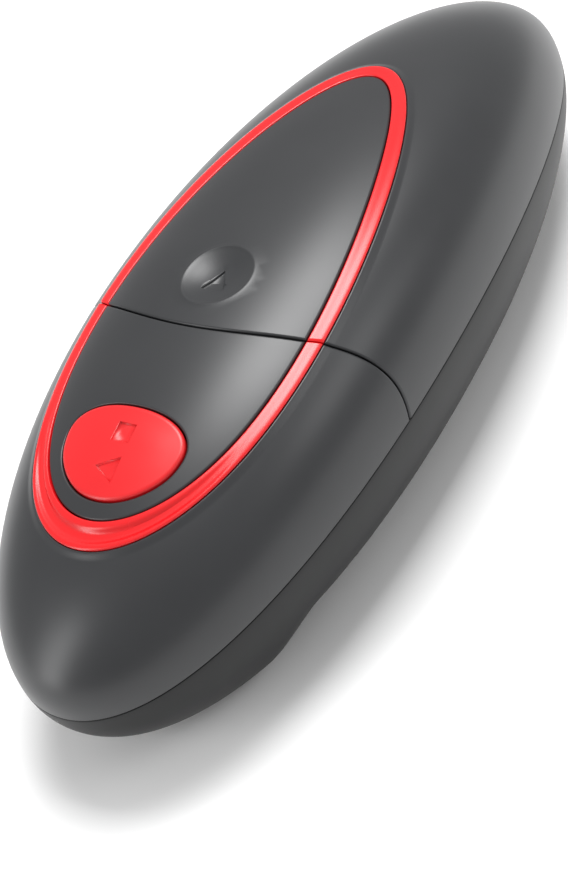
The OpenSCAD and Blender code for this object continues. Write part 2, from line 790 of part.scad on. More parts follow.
module gear_top_plate() {
    color("#d8d4c8") difference() {
        translate([0, 0, top_plate_z]) rounded_plate(head + 34.5, head + 86, 22, 4, plate_t);
        at_sites(gear_sites, top_plate_z - 1) cylinder(r = axle_radius, h = 5);
        translate([drive_at[0], 0, top_plate_z - 1]) cylinder(r = drive_shaft_radius + running, h = 5);
        at_sites(pillar_sites, top_plate_z - 1) cylinder(r = 1.4, h = 5);
        at_sites(board_screw_sites, top_plate_z - 1) cylinder(r = 1, h = 5);
        at_sites(case_screw_sites, top_plate_z - 1) cylinder(r = boss_radius + 0.5, h = 5);
    }
}

module gear_spacers() {
    color("#d8d4c8") at_sites(pillar_sites, deck_z + plate_t)
        tube(pillar_radius, 1.4, top_plate_z - deck_z - plate_t);
}

module gearbox_screws() {
    color("silver") at_sites(pillar_sites, top_plate_z + plate_t)
        screw(1.15, top_plate_z + plate_t - deck_z + 5, 2.1, 1);
}

module gear_axles() {
    color("#c3c6c9") at_sites(gear_sites, deck_z)
        cylinder(r = axle_radius, h = top_plate_z + plate_t - deck_z);
}

module gear_1() {
    color("#f1eee4") translate([gear_1_at[0], gear_1_at[1], 0])
        compound_gear(fast_teeth, fast_module, level_1, gear_width,
            fast_module, level_2 - 0.3, level_1 - level_2 + 0.4, phase_1);
}

module gear_2() {
    color("#f1eee4") translate([gear_2_at[0], gear_2_at[1], 0])
        compound_gear(fast_teeth, fast_module, level_2, gear_width,
            slow_module, level_3 - 0.3, level_2 - level_3 + 0.4, phase_2);
}

module gear_3() {
    color("#f1eee4") translate([gear_3_at[0], gear_3_at[1], 0])
        compound_gear(slow_teeth, slow_module, level_3, 3,
            output_module, level_4 - 0.3, level_3 - level_4 + 0.4, phase_3);
}

module output_gear() {
    color("#f1eee4") translate([drive_at[0], 0, level_4]) difference() {
        spur(output_teeth, output_module, 4, phase_out, backlash);
        translate([0, 0, -1]) cylinder(r = drive_shaft_radius, h = 9);
    }
}

// ---- cutting head ----

module drive_shaft() {
    color("#b4b7ba") translate([drive_at[0], 0, drive_wheel_z + 1]) difference() {
        cylinder(r = drive_shaft_radius, h = top_plate_z + plate_t - drive_wheel_z - 1);
        translate([0, 0, -1]) cylinder(r = 1, h = 7);
    }
}

module drive_bush() {
    color("#b58a4a") translate([drive_at[0], 0, underside_lift])
        tube(drive_boss - 2, drive_shaft_radius + running, deck_z - 0.5 - underside_lift);
}

module drive_wheel() {
    teeth = 24;
    root = drive_wheel_radius - 0.8;
    color("#a9acb0") translate([drive_at[0], 0, drive_wheel_z]) difference() {
        union() {
            linear_extrude(drive_wheel_t - 1) polygon([for (i = [0:teeth - 1]) each [
                root * [cos(15 * i), sin(15 * i)],
                drive_wheel_radius * [cos(15 * i + 9), sin(15 * i + 9)]]]);
            cylinder(r = drive_boss - 2.4, h = drive_wheel_t);
        }
        translate([0, 0, 1]) cylinder(r = drive_shaft_radius, h = 9);
        translate([0, 0, -1]) cylinder(r = 1.2, h = 9);
    }
}

module drive_wheel_screw() {
    color("silver") translate([drive_at[0], 0, drive_wheel_z]) rotate([180, 0, 0]) screw(1, 5.5, 2.6, 1.3);
}

module turret() {
    color("#38393b") translate([turret_at[0], 0, 0]) difference() {
        union() {
            translate([0, 0, turret_plate_z]) cylinder(r = turret_radius, h = turret_plate_t);
            translate([0, 0, turret_plate_z]) cylinder(r = hub_radius, h = hub_top - turret_plate_z);
            cutter_local(cutter_z + cutter_t + 0.4)
                cylinder(r = 4, h = turret_plate_z - cutter_z - cutter_t);
        }
        cutter_local(0) cylinder(r = cutter_bore - 0.4, h = 15);
        // groove for the clip
        translate([0, 0, hub_top - 1]) tube(hub_radius + 1, hub_radius - 1, 0.6);
    }
}

module cutter_local(z) {
    translate([cutter_at[0] - turret_at[0], cutter_at[1] - turret_at[1], z]) children();
}

module turret_clip() {
    color("silver") translate([turret_at[0], 0, hub_top - 0.95]) difference() {
        tube(hub_radius + 1.6, hub_radius - 0.9, 0.5);
        rotate([0, 0, 180]) translate([0, -2, -1]) cube([9, 4, 3]);
    }
}

module cutter_wheel() {
    edge = cutter_z + cutter_t / 2;
    color("#cfd2d5") translate([cutter_at[0], cutter_at[1], 0]) rotate_extrude($fn = 96)
        polygon([[cutter_bore + running, cutter_z - 0.4], [4, cutter_z - 0.4],
            [4.4, cutter_z], [cutter_radius - 1.8, cutter_z], [cutter_radius, edge],
            [cutter_radius - 1.8, cutter_z + cutter_t], [cutter_bore + running, cutter_z + cutter_t]]);
}

module cutter_washer() {
    color("silver") translate([cutter_at[0], cutter_at[1], cutter_z + cutter_t + 0.05])
        tube(3.6, cutter_bore + 0.05, 0.35);
}

module cutter_screw() {
    color("#8d9094") translate([cutter_at[0], cutter_at[1], 0]) difference() {
        union() {
            translate([0, 0, cutter_z - 2.2]) cylinder(r = 3.3, h = 1.7);
            translate([0, 0, cutter_z - 0.6]) cylinder(r = cutter_bore, h = cutter_t + 1);
            translate([0, 0, cutter_z + cutter_t]) cylinder(r = cutter_bore - 0.4, h = 5);
        }
        translate([-3, -0.4, cutter_z - 2.6]) cube([6, 0.8, 1.1]);
    }
}

module rim_guides() {
    color("silver") at_sites(guide_sites, drive_wheel_z) union() {
        cylinder(r = 1.45, h = floor_top + 0.2 - drive_wheel_z);
        cylinder(r = 2.2, h = underside_lift - drive_wheel_z);
    }
}

module magnet_cup() {
    color("#2b2c2e") translate([magnet_at[0], 0, magnet_z]) difference() {
        cylinder(r = magnet_radius + 1, h = floor_top - 0.6 - magnet_z);
        translate([0, 0, -1]) cylinder(r = magnet_radius + 0.05, h = 4);
    }
}

module magnet() {
    color("#9fa3a8") translate([magnet_at[0], 0, magnet_z - 0.1]) cylinder(r = magnet_radius, h = 3.1);
}

// ---- fasteners, label and feet ----

module case_screws() {
    color("silver") at_sites(case_screw_sites, 16) rotate([180, 0, 0])
        screw(1.15, seam_height + 1 - 16, 2.5, 1.8);
}

module rating_plate() {
    color("#8f9296") translate([plate_x + 0.2, -plate_width / 2 + 0.2, underside_lift + 0.05])
        cube([plate_length - 0.4, plate_width - 0.4, 0.35]);
}

module rear_feet() {
    color("#1f2022") at_sites(foot_sites) cylinder(r = foot_radius, h = skid_bottom + 0.95);
}

lower_case();
front_cover();
battery_cover();
trim_ring_front();
trim_ring_rear();
start_button();
button_spring();
circuit_board();
tact_switch();
board_screws();
battery_tray();
tray_screws();
cell_1();
cell_2();
cell_3();
cell_4();
contact_springs();
contact_plates();
motor_can();
motor_end_cap();
motor_shaft();
motor_pinion();
motor_bracket();
motor_screws();
gear_deck();
gear_top_plate();
gear_spacers();
gearbox_screws();
gear_axles();
gear_1();
gear_2();
gear_3();
output_gear();
drive_shaft();
drive_bush();
drive_wheel();
drive_wheel_screw();
turret();
turret_clip();
cutter_wheel();
cutter_washer();
cutter_screw();
rim_guides();
magnet_cup();
magnet();
case_screws();
rating_plate();
rear_feet();
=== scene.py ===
"""A hand-held electric can opener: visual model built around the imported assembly."""
import json
import math

import bmesh
import bpy
import numpy as np
from bpy.props import FloatProperty, PointerProperty, StringProperty
from mathutils import Matrix, Vector, geometry


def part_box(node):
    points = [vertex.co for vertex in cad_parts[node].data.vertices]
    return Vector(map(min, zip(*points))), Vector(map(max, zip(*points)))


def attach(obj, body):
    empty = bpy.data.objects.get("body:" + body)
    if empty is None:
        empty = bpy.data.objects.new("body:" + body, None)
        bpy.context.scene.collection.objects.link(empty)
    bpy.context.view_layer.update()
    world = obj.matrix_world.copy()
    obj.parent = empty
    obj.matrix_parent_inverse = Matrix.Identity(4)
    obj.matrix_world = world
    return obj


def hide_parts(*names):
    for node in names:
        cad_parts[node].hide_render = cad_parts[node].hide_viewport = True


bl_info = {
    "name": "Electric can opener",
    "version": (1, 0, 0),
    "blender": (4, 5, 0),
    "location": "3D View > Sidebar > Can opener",
    "description": "Builds the mouldings, trim and finishes of an electric can opener",
    "category": "Object",
}

MM = 0.001
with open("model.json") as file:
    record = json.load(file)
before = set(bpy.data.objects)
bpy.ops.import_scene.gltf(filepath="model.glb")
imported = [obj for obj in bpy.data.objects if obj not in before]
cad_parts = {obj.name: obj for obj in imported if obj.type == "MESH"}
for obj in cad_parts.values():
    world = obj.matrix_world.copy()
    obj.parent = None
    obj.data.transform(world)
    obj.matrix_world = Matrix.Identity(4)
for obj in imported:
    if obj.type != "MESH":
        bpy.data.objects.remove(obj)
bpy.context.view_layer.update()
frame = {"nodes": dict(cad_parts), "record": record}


def box_mm(node):
    """The lowest and highest corners of a CAD node, in millimetres."""
    low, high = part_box(node)
    return np.array(low) / MM, np.array(high) / MM


# ---- sizes that come from the frame ----

LOWER_LOW, LOWER_HIGH = box_mm("lower_case")
CROWN_HIGH = box_mm("battery_cover")[1]
BUTTON_LOW, BUTTON_HIGH = box_mm("start_button")
RING_LOW = box_mm("trim_ring_front")[0]
RING_HIGH = box_mm("trim_ring_rear")[1]
HALF_LENGTH = (LOWER_HIGH[0] - LOWER_LOW[0]) / 2
TURRET_LOW, TURRET_HIGH = box_mm("turret")
CLIP_LOW, CLIP_HIGH = box_mm("turret_clip")
DRIVE_LOW, DRIVE_HIGH = box_mm("drive_bush")
CUP_LOW, CUP_HIGH = box_mm("magnet_cup")
PLATE_LOW, PLATE_HIGH = box_mm("rating_plate")
FEET_LOW, FEET_HIGH = box_mm("rear_feet")


def srgb(code):
    """Linear RGBA from an sRGB hex colour."""
    parts = [int(code[i:i + 2], 16) / 255 for i in (1, 3, 5)]
    return [c / 12.92 if c <= 0.04045 else ((c + 0.055) / 1.055) ** 2.4 for c in parts] + [1.0]


def hex_prop(name, description, default):
    """A colour kept as an sRGB hex code."""
    return StringProperty(name=name, description=description, default=default)


def size_prop(name, description, default):
    """A size in millimetres."""
    return FloatProperty(name=name, description=description, default=default)


class CaseSizes(bpy.types.PropertyGroup):
    """Shape of the case mouldings."""

    seam_height: size_prop("Seam height", "Height of the side seam at mid length, mm", LOWER_HIGH[2])
    half_width: size_prop("Half width", "Half width at mid length, mm", 38.0)
    crown_height: size_prop("Crown height", "Height of the crown above the seam, mm",
                            CROWN_HIGH[2] - LOWER_HIGH[2])
    droop: size_prop("End droop", "How far the seam drops at the ends, mm", 8.5)
    fullness: size_prop("Front fullness", "How much wider the button end is", 0.105)
    outline_power: size_prop("Outline power", "Superellipse power of the plan", 2.06)
    crown_power: size_prop("Crown power", "Superellipse power above the seam", 2.46)
    keel_power: size_prop("Keel power", "Superellipse power below the seam", 1.9)
    rear_keel: size_prop("Rear keel", "Depth of the untrimmed section at the rear, mm", 39.2)
    toe_keel: size_prop("Toe keel", "Depth of the untrimmed section at the toe, mm", 45.0)
    lift: size_prop("Underside lift", "Height of the rear underside, mm", 10.0)
    ramp_start: size_prop("Ramp start", "Distance from the button end to the ramp, mm", 36.0)
    ramp_length: size_prop("Ramp length", "Length of the ramp, mm", 8.0)
    wall: size_prop("Wall", "Thickness of the mouldings, mm", 2.4)
    edge: size_prop("Edge radius", "Rounding of the mouldings' visible edges, mm", 0.45)
    seam_edge: size_prop("Seam edge", "Rounding of the edges along the side seam, mm", 0.3)
    gap: size_prop("Panel gap", "Gap between neighbouring mouldings, mm", 0.3)
    split_at: size_prop("Split", "Where the covers split at the crown, mm", -30.0)
    split_bow: size_prop("Split bow", "How far the split bows at the sides, mm", 12.5)
    split_lean: size_prop("Split lean", "Lean of the split, as a slope", 0.2)


class TrimSizes(bpy.types.PropertyGroup):
    """Shape of the ring, the button and the dimple."""

    ring_front: size_prop("Ring front", "Outer edge at the button end, mm", RING_LOW[0])
    ring_rear: size_prop("Ring rear", "Outer edge at the battery end, mm", RING_HIGH[0])
    ring_half_width: size_prop("Ring half width", "Outer half width, mm", 26.4)
    ring_taper: size_prop("Ring taper", "Taper of the outer outline", 0.183)
    inner_taper: size_prop("Inner taper", "Taper of the inner outline", 0.25)
    band_front: size_prop("Front band", "Width of the band at the button end, mm", 5.4)
    band_rear: size_prop("Rear band", "Width of the band at the battery end, mm", 3.1)
    band_side: size_prop("Side band", "Width of the band at the sides, mm", 2.9)
    ring_proud: size_prop("Ring lip", "Height of the outer lip, mm", 0.55)
    bead: size_prop("Bead", "Height of the cover's raised edge outside the ring, mm", 0.3)
    bead_width: size_prop("Bead width", "How far the raised edge fades out, mm", 1.8)
    ring_seat: size_prop("Ring seat", "Depth of the seat, mm", 1.1)
    button_at: size_prop("Button", "Middle of the button, mm", (BUTTON_LOW[0] + BUTTON_HIGH[0]) / 2)
    button_length: size_prop("Button half length", "Half length of the button, mm",
                             (BUTTON_HIGH[0] - BUTTON_LOW[0]) / 2)
    button_width: size_prop("Button half width", "Half width of the button, mm", 13.2)
    button_taper: size_prop("Button taper", "Taper of the button's outline", 0.25)
    button_power: size_prop("Button power", "Superellipse power of the outline", 2.2)
    button_raise: size_prop("Button raise", "How far the button stands proud, mm", 0.33)
    dimple_at: size_prop("Dimple", "Middle of the thumb dimple, mm", -17.4)
    dimple_radius: size_prop("Dimple radius", "Radius of the dimple, mm", 7.4)
    dimple_depth: size_prop("Dimple depth", "Depth of the dimple, mm", 1.5)


class Finishes(bpy.types.PropertyGroup):
    """Colours of the finishes, as sRGB hex."""

    cover: hex_prop("Covers", "Charcoal ABS of the covers", "#2b2c2e")
    lower: hex_prop("Lower case", "Darker ABS of the lower case", "#0c0d0e")
    trim: hex_prop("Trim", "Red ABS of the trim ring", "#dc141a")
    button: hex_prop("Button", "Red ABS of the button", "#d9161c")
    floor: hex_prop("Floor", "Pale studio floor", "#ffffff")


def sizes():
    """The scene's case and trim sizes."""
    scene = bpy.context.scene
    return scene.opener_case, scene.opener_trim


# ---- the shared surface ----

def spow(v, e):
    """Signed power."""
    return np.sign(v) * np.abs(v) ** e


def smooth(v):
    """Cubic step from 0 to 1."""
    c = np.clip(v, 0, 1)
    return c * c * (3 - 2 * c)


class Shell:
    """The case surface as functions of plan coordinates, in millimetres."""

    STRETCH = 0.5
    TABLE = 4000

    def __init__(self):
        self.c, self.t = sizes()
        share = 1 - np.linspace(1, 0, self.TABLE) ** 3
        self.shares = share
        self.spread = share + self.STRETCH * (1 - self.rise(share))

    def rise(self, share):
        """Height above the seam as a share of the crown height."""
        m = self.c.crown_power
        return np.maximum(1 - np.clip(share, 0, 1) ** m, 0) ** (1 / m)

    def widen(self, x):
        """How much the outline widens towards the button end."""
        return 1 - self.c.fullness * x / HALF_LENGTH

    def seam(self, x):
        """Height of the side seam."""
        return self.c.seam_height - self.c.droop * (x / HALF_LENGTH) ** 2

    def share(self, x, y):
        """How far a plan point is from the middle, 1 on the outline."""
        p = self.c.outline_power
        u = np.abs(x / HALF_LENGTH) ** p
        v = np.abs(y / self.widen(x) / self.c.half_width) ** p
        return np.minimum((u + v) ** (1 / p), 1)

    def flatten(self, x, y):
        """Plan points laid out on a sheet where the steep sides are unrolled."""
        s = self.share(x, y)
        g = np.interp(s, self.shares, self.spread)
        f = g / np.maximum(s, 1e-9)
        return np.stack([x * f, y / self.widen(x) * f], -1)

    def unroll(self, q):
        """Plan points and share of the sheet's points."""
        p = self.c.outline_power
        g = (np.abs(q[..., 0] / HALF_LENGTH) ** p + np.abs(q[..., 1] / self.c.half_width) ** p) ** (1 / p)
        s = np.interp(g, self.spread, self.shares)
        f = s / np.maximum(g, 1e-9)
        x = q[..., 0] * f
        return x, q[..., 1] * f * self.widen(x), s

    def point(self, q):
        """The bare surface above the sheet's points."""
        x, y, s = self.unroll(q)
        return np.stack([x, y, self.seam(x) + self.c.crown_height * self.rise(s)], -1)

    def normal(self, q, surface=None, step=0.02):
        """Outward unit normals of a surface over the sheet."""
        surface = surface or self.point
        a, b = np.array([step, 0.0]), np.array([0.0, step])
        n = np.cross(surface(q + a) - surface(q - a), surface(q + b) - surface(q - b))
        return n / np.maximum(np.linalg.norm(n, axis=-1, keepdims=True), 1e-12)

    def split(self, p):
        """Signed distance to the split, negative on the button side."""
        angle = math.atan(self.c.split_lean)
        top = self.c.seam_height + self.c.crown_height
        along = (p[..., 0] - self.c.split_at) * math.cos(angle) - (p[..., 2] - top) * math.sin(angle)
        across = np.minimum(np.abs(p[..., 1]), self.c.half_width) / self.c.half_width
        return along - self.c.split_bow * across ** 2

    def split_line(self, offset, count):
        """Plan points of a line that follows the split."""
        c = self.c
        q = np.linspace(-1, 1, count)
        x = np.full(count, c.split_at)
        tilt = math.atan(c.split_lean)
        for _ in range(12):
            u = np.abs(x / HALF_LENGTH) ** c.outline_power
            v = (1 - u) * np.abs(np.sin(q * math.pi / 2)) ** c.outline_power
            y = np.sign(q) * c.half_width * self.widen(x) * v ** (1 / c.outline_power)
            z = self.seam(x) + c.crown_height * self.rise((u + v) ** (1 / c.outline_power))
            bow = c.split_bow * (np.minimum(np.abs(y), c.half_width) / c.half_width) ** 2
            drop = (z - c.seam_height - c.crown_height) * c.split_lean
            x = c.split_at + (bow + offset) / math.cos(tilt) + drop
        return np.stack([x, y], -1)

    def oval(self, which):
        """Middle, half length, half width and taper of the ring's outer or inner outline."""
        t = self.t
        if which == "outer":
            return ((t.ring_front + t.ring_rear) / 2, (t.ring_rear - t.ring_front) / 2,
                    t.ring_half_width, t.ring_taper)
        front, rear = t.ring_front + t.band_front, t.ring_rear - t.band_rear
        return (front + rear) / 2, (rear - front) / 2, t.ring_half_width - t.band_side, t.inner_taper

    def oval_points(self, which, angle):
        """Plan points of one of the ring's outlines."""
        x, a, b, taper = self.oval(which)
        return np.stack([x + a * np.cos(angle), b * np.sin(angle) * (1 - taper * np.cos(angle))], -1)

    def oval_distance(self, which, x, y):
        """Signed distance to one of the ring's outlines, negative inside."""
        cx, a, b, taper = self.oval(which)

        def level(px, py):
            c = (px - cx) / a
            return np.sqrt(c ** 2 + (py / (b * np.maximum(1 - taper * c, 0.2))) ** 2) - 1
        return self.distance(level, x, y)

    def button_points(self, angle):
        """Plan points of the button's outline."""
        t = self.t
        e = 2 / t.button_power
        return np.stack([t.button_at + t.button_length * spow(np.cos(angle), e),
                         t.button_width * spow(np.sin(angle), e) * (1 + t.button_taper * np.cos(angle))], -1)

    def button_distance(self, x, y):
        """Signed distance to the button's outline, negative inside."""
        t = self.t

        def level(px, py):
            c = (px - t.button_at) / t.button_length
            w = t.button_width * (1 + t.button_taper * np.clip(spow(c, t.button_power / 2), -1.5, 1.5))
            k = t.button_power
            return (np.abs(c) ** k + np.abs(py / w) ** k) ** (1 / k) - 1
        return self.distance(level, x, y)

    @staticmethod
    def distance(level, x, y, step=0.01):
        """First-order signed distance to where a level function is zero."""
        gx = (level(x + step, y) - level(x - step, y)) / (2 * step)
        gy = (level(x, y + step) - level(x, y - step)) / (2 * step)
        return level(x, y) / np.maximum(np.hypot(gx, gy), 1e-6)


def rounding(distance, radius):
    """How far a rounded edge falls at a distance inside it."""
    d = np.clip(radius - np.clip(distance, 0, radius), 0, radius)
    return radius - np.sqrt(np.maximum(radius ** 2 - d ** 2, 0))


def polygon_depth(corners, x, y):
    """How far inside a convex polygon a point is; negative outside."""
    depth = np.full(np.shape(x), 1e9)
    for a, b in zip(corners, corners[1:] + corners[:1]):
        length = math.hypot(b[0] - a[0], b[1] - a[1])
        depth = np.minimum(depth, ((b[0] - a[0]) * (y - a[1]) - (b[1] - a[1]) * (x - a[0])) / length)
    return depth


def inset_polygon(corners, inset):
    """A convex polygon moved inwards by an inset."""
    lines = []
    for a, b in zip(corners, corners[1:] + corners[:1]):
        length = math.hypot(b[0] - a[0], b[1] - a[1])
        n = (-(b[1] - a[1]) / length, (b[0] - a[0]) / length)
        lines.append((n, n[0] * a[0] + n[1] * a[1] + inset))
    out = []
    for (n, c), (m, d) in zip(lines[-1:] + lines[:-1], lines):
        det = n[0] * m[1] - n[1] * m[0]
        out.append(((c * m[1] - d * n[1]) / det, (n[0] * d - m[0] * c) / det))
    return out


MARK_DEPTH = 0.5
MARK_SLOPE = 0.16
# clearances between the covers and the ring, in millimetres
OUTER_FIT = 0.08
INNER_FIT = 0.2
FINE_EDGE = 0.35


def marks(t):
    """Sunk marks: the slide arrow in the dimple, the start triangle and stop square on the button."""
    d = t.dimple_at - 0.6
    start, stop = t.button_at - 3.4, t.button_at + 3.9
    arrow = [(d - 2.6, -2.7), (d + 3.0, 0.0), (d - 2.6, 2.7)]
    triangle = [(start - 2.7, -2.2), (start + 2.7, -2.2), (start, 2.9)]
    square = [(stop - 2.0, -2.1), (stop + 2.0, -2.1), (stop + 2.0, 2.1), (stop - 2.0, 2.1)]
    return {"arrow": arrow, "triangle": triangle, "square": square}


class Covers:
    """One triangulation of the whole top, shared out between the covers and the button."""

    EDGE_STEPS = (0.0, 0.06, 0.15, 0.28, 0.45, 0.9)
    SEAM_STEPS = (0.0, 0.05, 0.13, 0.25, 0.4, 0.8)
    BEAD_SHARES = (0.5, 0.75, 1.0, 1.25)
    DIMPLE_SHARES = (0.25, 0.5, 0.7, 0.85, 0.93, 0.98, 1.02, 1.07, 1.14)
    SPACING = 1.7
    BUTTON_EDGE = 0.7
    BUTTON_CROWN = 0.18
    DIMPLE_LIP = 0.14

    def __init__(self):
        self.shell = Shell()
        self.points, self.edges = [], []
        self.lay_lines()
        self.lay_grid()
        coords = [Vector(p) for p in self.points]
        found = geometry.delaunay_2d_cdt(coords, self.edges, [], 0, 1e-4)
        self.flat = np.array([tuple(v) for v in found[0]])
        self.faces = np.array([f for f in found[2] if len(f) == 3])
        self.sort()

    def line(self, plan, closed=True):
        """Adds a line of plan points that the triangulation has to follow."""
        start = len(self.points)
        self.points += [tuple(p) for p in self.shell.flatten(plan[:, 0], plan[:, 1])]
        count = len(plan)
        self.edges += [(start + i, start + (i + 1) % count) for i in range(count if closed else count - 1)]

    def offset(self, plan, distance):
        """A closed plan line moved outwards."""
        along = np.roll(plan, -1, 0) - np.roll(plan, 1, 0)
        n = np.stack([along[:, 1], -along[:, 0]], -1)
        return plan + distance * n / np.linalg.norm(n, axis=1, keepdims=True)

    def lay_lines(self):
        """Lines along every edge, so that each rounding has its own rows of points."""
        s, c = self.shell, self.shell.c
        half = c.gap / 2
        for side in (-1, 1):
            for e in self.EDGE_STEPS:
                self.line(s.split_line(side * (half + e), 121), closed=False)
        turn = np.linspace(0, 2 * math.pi, 220, endpoint=False)
        for e in self.EDGE_STEPS:
            self.line(self.offset(s.oval_points("outer", turn), OUTER_FIT + e))
            self.line(self.offset(s.oval_points("inner", turn), -INNER_FIT - e))
        for share in self.BEAD_SHARES:
            self.line(self.offset(s.oval_points("outer", turn), OUTER_FIT + share * s.t.bead_width))
        turn = np.linspace(0, 2 * math.pi, 96, endpoint=False)
        for e in self.EDGE_STEPS:
            self.line(self.offset(s.button_points(turn), c.gap + e))
            self.line(self.offset(s.button_points(turn), -e))
        for corners in marks(s.t).values():
            for e in (0.0, MARK_SLOPE / 2, MARK_SLOPE):
                self.line(np.array(inset_polygon(corners, e)))
        turn = np.linspace(0, 2 * math.pi, 60, endpoint=False)
        for share in self.DIMPLE_SHARES:
            r = share * s.t.dimple_radius
            self.line(np.stack([s.t.dimple_at + r * np.cos(turn), r * np.sin(turn)], -1))
        turn = np.linspace(0, 2 * math.pi, 360, endpoint=False)
        for e in self.SEAM_STEPS:
            share = (1 - (e / c.crown_height) ** c.crown_power) ** (1 / c.crown_power)
            x = share * HALF_LENGTH * spow(np.cos(turn), 2 / c.outline_power)
            y = share * c.half_width * spow(np.sin(turn), 2 / c.outline_power) * s.widen(x)
            self.line(np.stack([x, y], -1))

    def spread_of(self, q):
        """How far the sheet's points are from its middle, as a share of the case outline."""
        c = self.shell.c
        u, v = np.abs(q[:, 0] / HALF_LENGTH), np.abs(q[:, 1] / c.half_width)
        return (u ** c.outline_power + v ** c.outline_power) ** (1 / c.outline_power)

    def lay_grid(self):
        """Fills the rest with an even grid, kept clear of the lines."""
        s, c = self.shell, self.shell.c
        reach_x, reach_y = HALF_LENGTH * (1 + s.STRETCH), c.half_width * (1 + s.STRETCH)
        rows = []
        for j, y in enumerate(np.arange(-reach_y, reach_y, self.SPACING * 0.87)):
            shift = self.SPACING * 0.9 * (j % 2)
            xs = np.arange(-reach_x + shift, reach_x, self.SPACING * 1.8)
            rows.append(np.stack([xs, np.full(len(xs), y)], -1))
        grid = np.concatenate(rows)
        p = s.point(grid)
        x, y = p[:, 0], p[:, 1]
        clear = (self.spread_of(grid) < 1 + s.STRETCH - 0.03) & (np.abs(s.split(p)) > 1.7)
        clear &= np.abs(s.oval_distance("outer", x, y) - 1.0) > 1.7
        clear &= np.abs(s.oval_distance("inner", x, y) + 0.5) > 1.1
        clear &= np.abs(s.button_distance(x, y)) > 1.6
        clear &= np.abs(np.hypot(x - s.t.dimple_at, y) - s.t.dimple_radius) > 1.4
        for corners in marks(s.t).values():
            clear &= np.abs(polygon_depth(corners, x, y)) > 0.4
        self.points += [tuple(q) for q in grid[clear]]

    def sort(self):
        """Says which moulding each triangle belongs to."""
        s, c = self.shell, self.shell.c
        middle = self.flat[self.faces].mean(1)
        p = s.point(middle)
        x, y = p[:, 0], p[:, 1]
        ok = self.spread_of(middle) < 1 + s.STRETCH
        split = s.split(p)
        outer = s.oval_distance("outer", x, y) > OUTER_FIT
        inner = s.oval_distance("inner", x, y) < -INNER_FIT
        button = s.button_distance(x, y)
        cover = ok & (outer | (inner & (button > c.gap)))
        self.regions = {
            "front": cover & (split < -c.gap / 2),
            "rear": cover & (split > c.gap / 2),
            "button": ok & (button < 0),
        }

    def surface(self, region):
        """The finished outer surface of a region, as a function of the sheet's points."""
        s, c, t = self.shell, self.shell.c, self.shell.t
        mark = marks(t)

        def finished(q):
            p = s.point(q)
            n = s.normal(q)
            x, y = p[:, 0], p[:, 1]
            if region == "button":
                height = t.button_raise - rounding(-s.button_distance(x, y), self.BUTTON_EDGE)
                height += self.BUTTON_CROWN * smooth(-s.button_distance(x, y) / 7)
                for name in ("triangle", "square"):
                    height = height - MARK_DEPTH * smooth(polygon_depth(mark[name], x, y) / MARK_SLOPE)
                return p + n * height[:, None]
            drop = rounding(np.abs(s.split(p)) - c.gap / 2, c.edge)
            outer = s.oval_distance("outer", x, y)
            inner = s.oval_distance("inner", x, y)
            drop = np.maximum(drop, np.where(outer > -1, rounding(outer - OUTER_FIT, FINE_EDGE), 0))
            drop = np.maximum(drop, np.where(inner < 1, rounding(-inner - INNER_FIT, c.edge), 0))
            if region == "front":
                drop = np.maximum(drop, rounding(s.button_distance(x, y) - c.gap, FINE_EDGE))
            drop = np.maximum(drop, rounding(p[:, 2] - s.seam(x), c.seam_edge))
            fade = 1 - smooth((outer - OUTER_FIT) / t.bead_width)
            drop = drop - np.where(outer > -1, t.bead * fade, 0)
            if region == "rear":
                r = np.hypot(x - t.dimple_at, y) / t.dimple_radius
                drop = drop + t.dimple_depth * np.maximum(1 - r ** 2, 0) ** 1.25
                drop = drop - self.DIMPLE_LIP * np.exp(-((r - 1.04) / 0.07) ** 2)
                drop = drop + MARK_DEPTH * smooth(polygon_depth(mark["arrow"], x, y) / MARK_SLOPE)
            return p - n * drop[:, None]
        return finished

    def build(self, name, region, thickness):
        """A closed moulding: outer surface, inner surface and the walls between them."""
        faces = self.faces[self.regions[region]]
        used, faces = np.unique(faces, return_inverse=True)
        faces = faces.reshape(-1, 3)
        q = self.flat[used]
        area = np.cross(q[faces[:, 1]] - q[faces[:, 0]], q[faces[:, 2]] - q[faces[:, 0]])
        faces = np.where((area < 0)[:, None], faces[:, ::-1], faces)
        finished = self.surface(region)
        top = finished(q)
        normals = self.shell.normal(q, finished, 0.03)
        base = self.shell.normal(q)
        # the button's own edge and its hole go straight down, the way it moves
        aside = np.abs(self.shell.button_distance(top[:, 0], top[:, 1])) - 2 * self.shell.c.gap
        upright = 1 - smooth(aside / 2)[:, None]
        inward = base * (1 - upright) + np.array([0, 0, 1]) * upright
        bottom = self.shell.point(q) - inward * thickness
        seen = {}
        for f in faces:
            for a, b in ((f[0], f[1]), (f[1], f[2]), (f[2], f[0])):
                seen[(a, b)] = True
        rim = [(a, b) for a, b in seen if (b, a) not in seen]
        count = len(q)
        rim_points = sorted({a for e in rim for a in e})
        place = {a: i for i, a in enumerate(rim_points)}
        extra = len(rim_points)
        verts = np.concatenate([top, bottom, top[rim_points], bottom[rim_points]])
        out = {a: np.zeros(3) for a in rim_points}
        for a, b in rim:
            along = top[b] - top[a]
            side = np.cross(along, inward[a])
            side = side / max(np.linalg.norm(side), 1e-9)
            out[a] += side
            out[b] += side
        side = np.array([out[a] / max(np.linalg.norm(out[a]), 1e-9) for a in rim_points])
        all_normals = np.concatenate([normals, -base, side, side])
        wall = 2 * count
        walls = [(wall + place[a], wall + extra + place[a], wall + extra + place[b], wall + place[b])
                 for a, b in rim]
        inner = [tuple(f[::-1] + count) for f in faces]
        return solid(name, verts, [tuple(f) for f in faces] + inner + walls, all_normals)


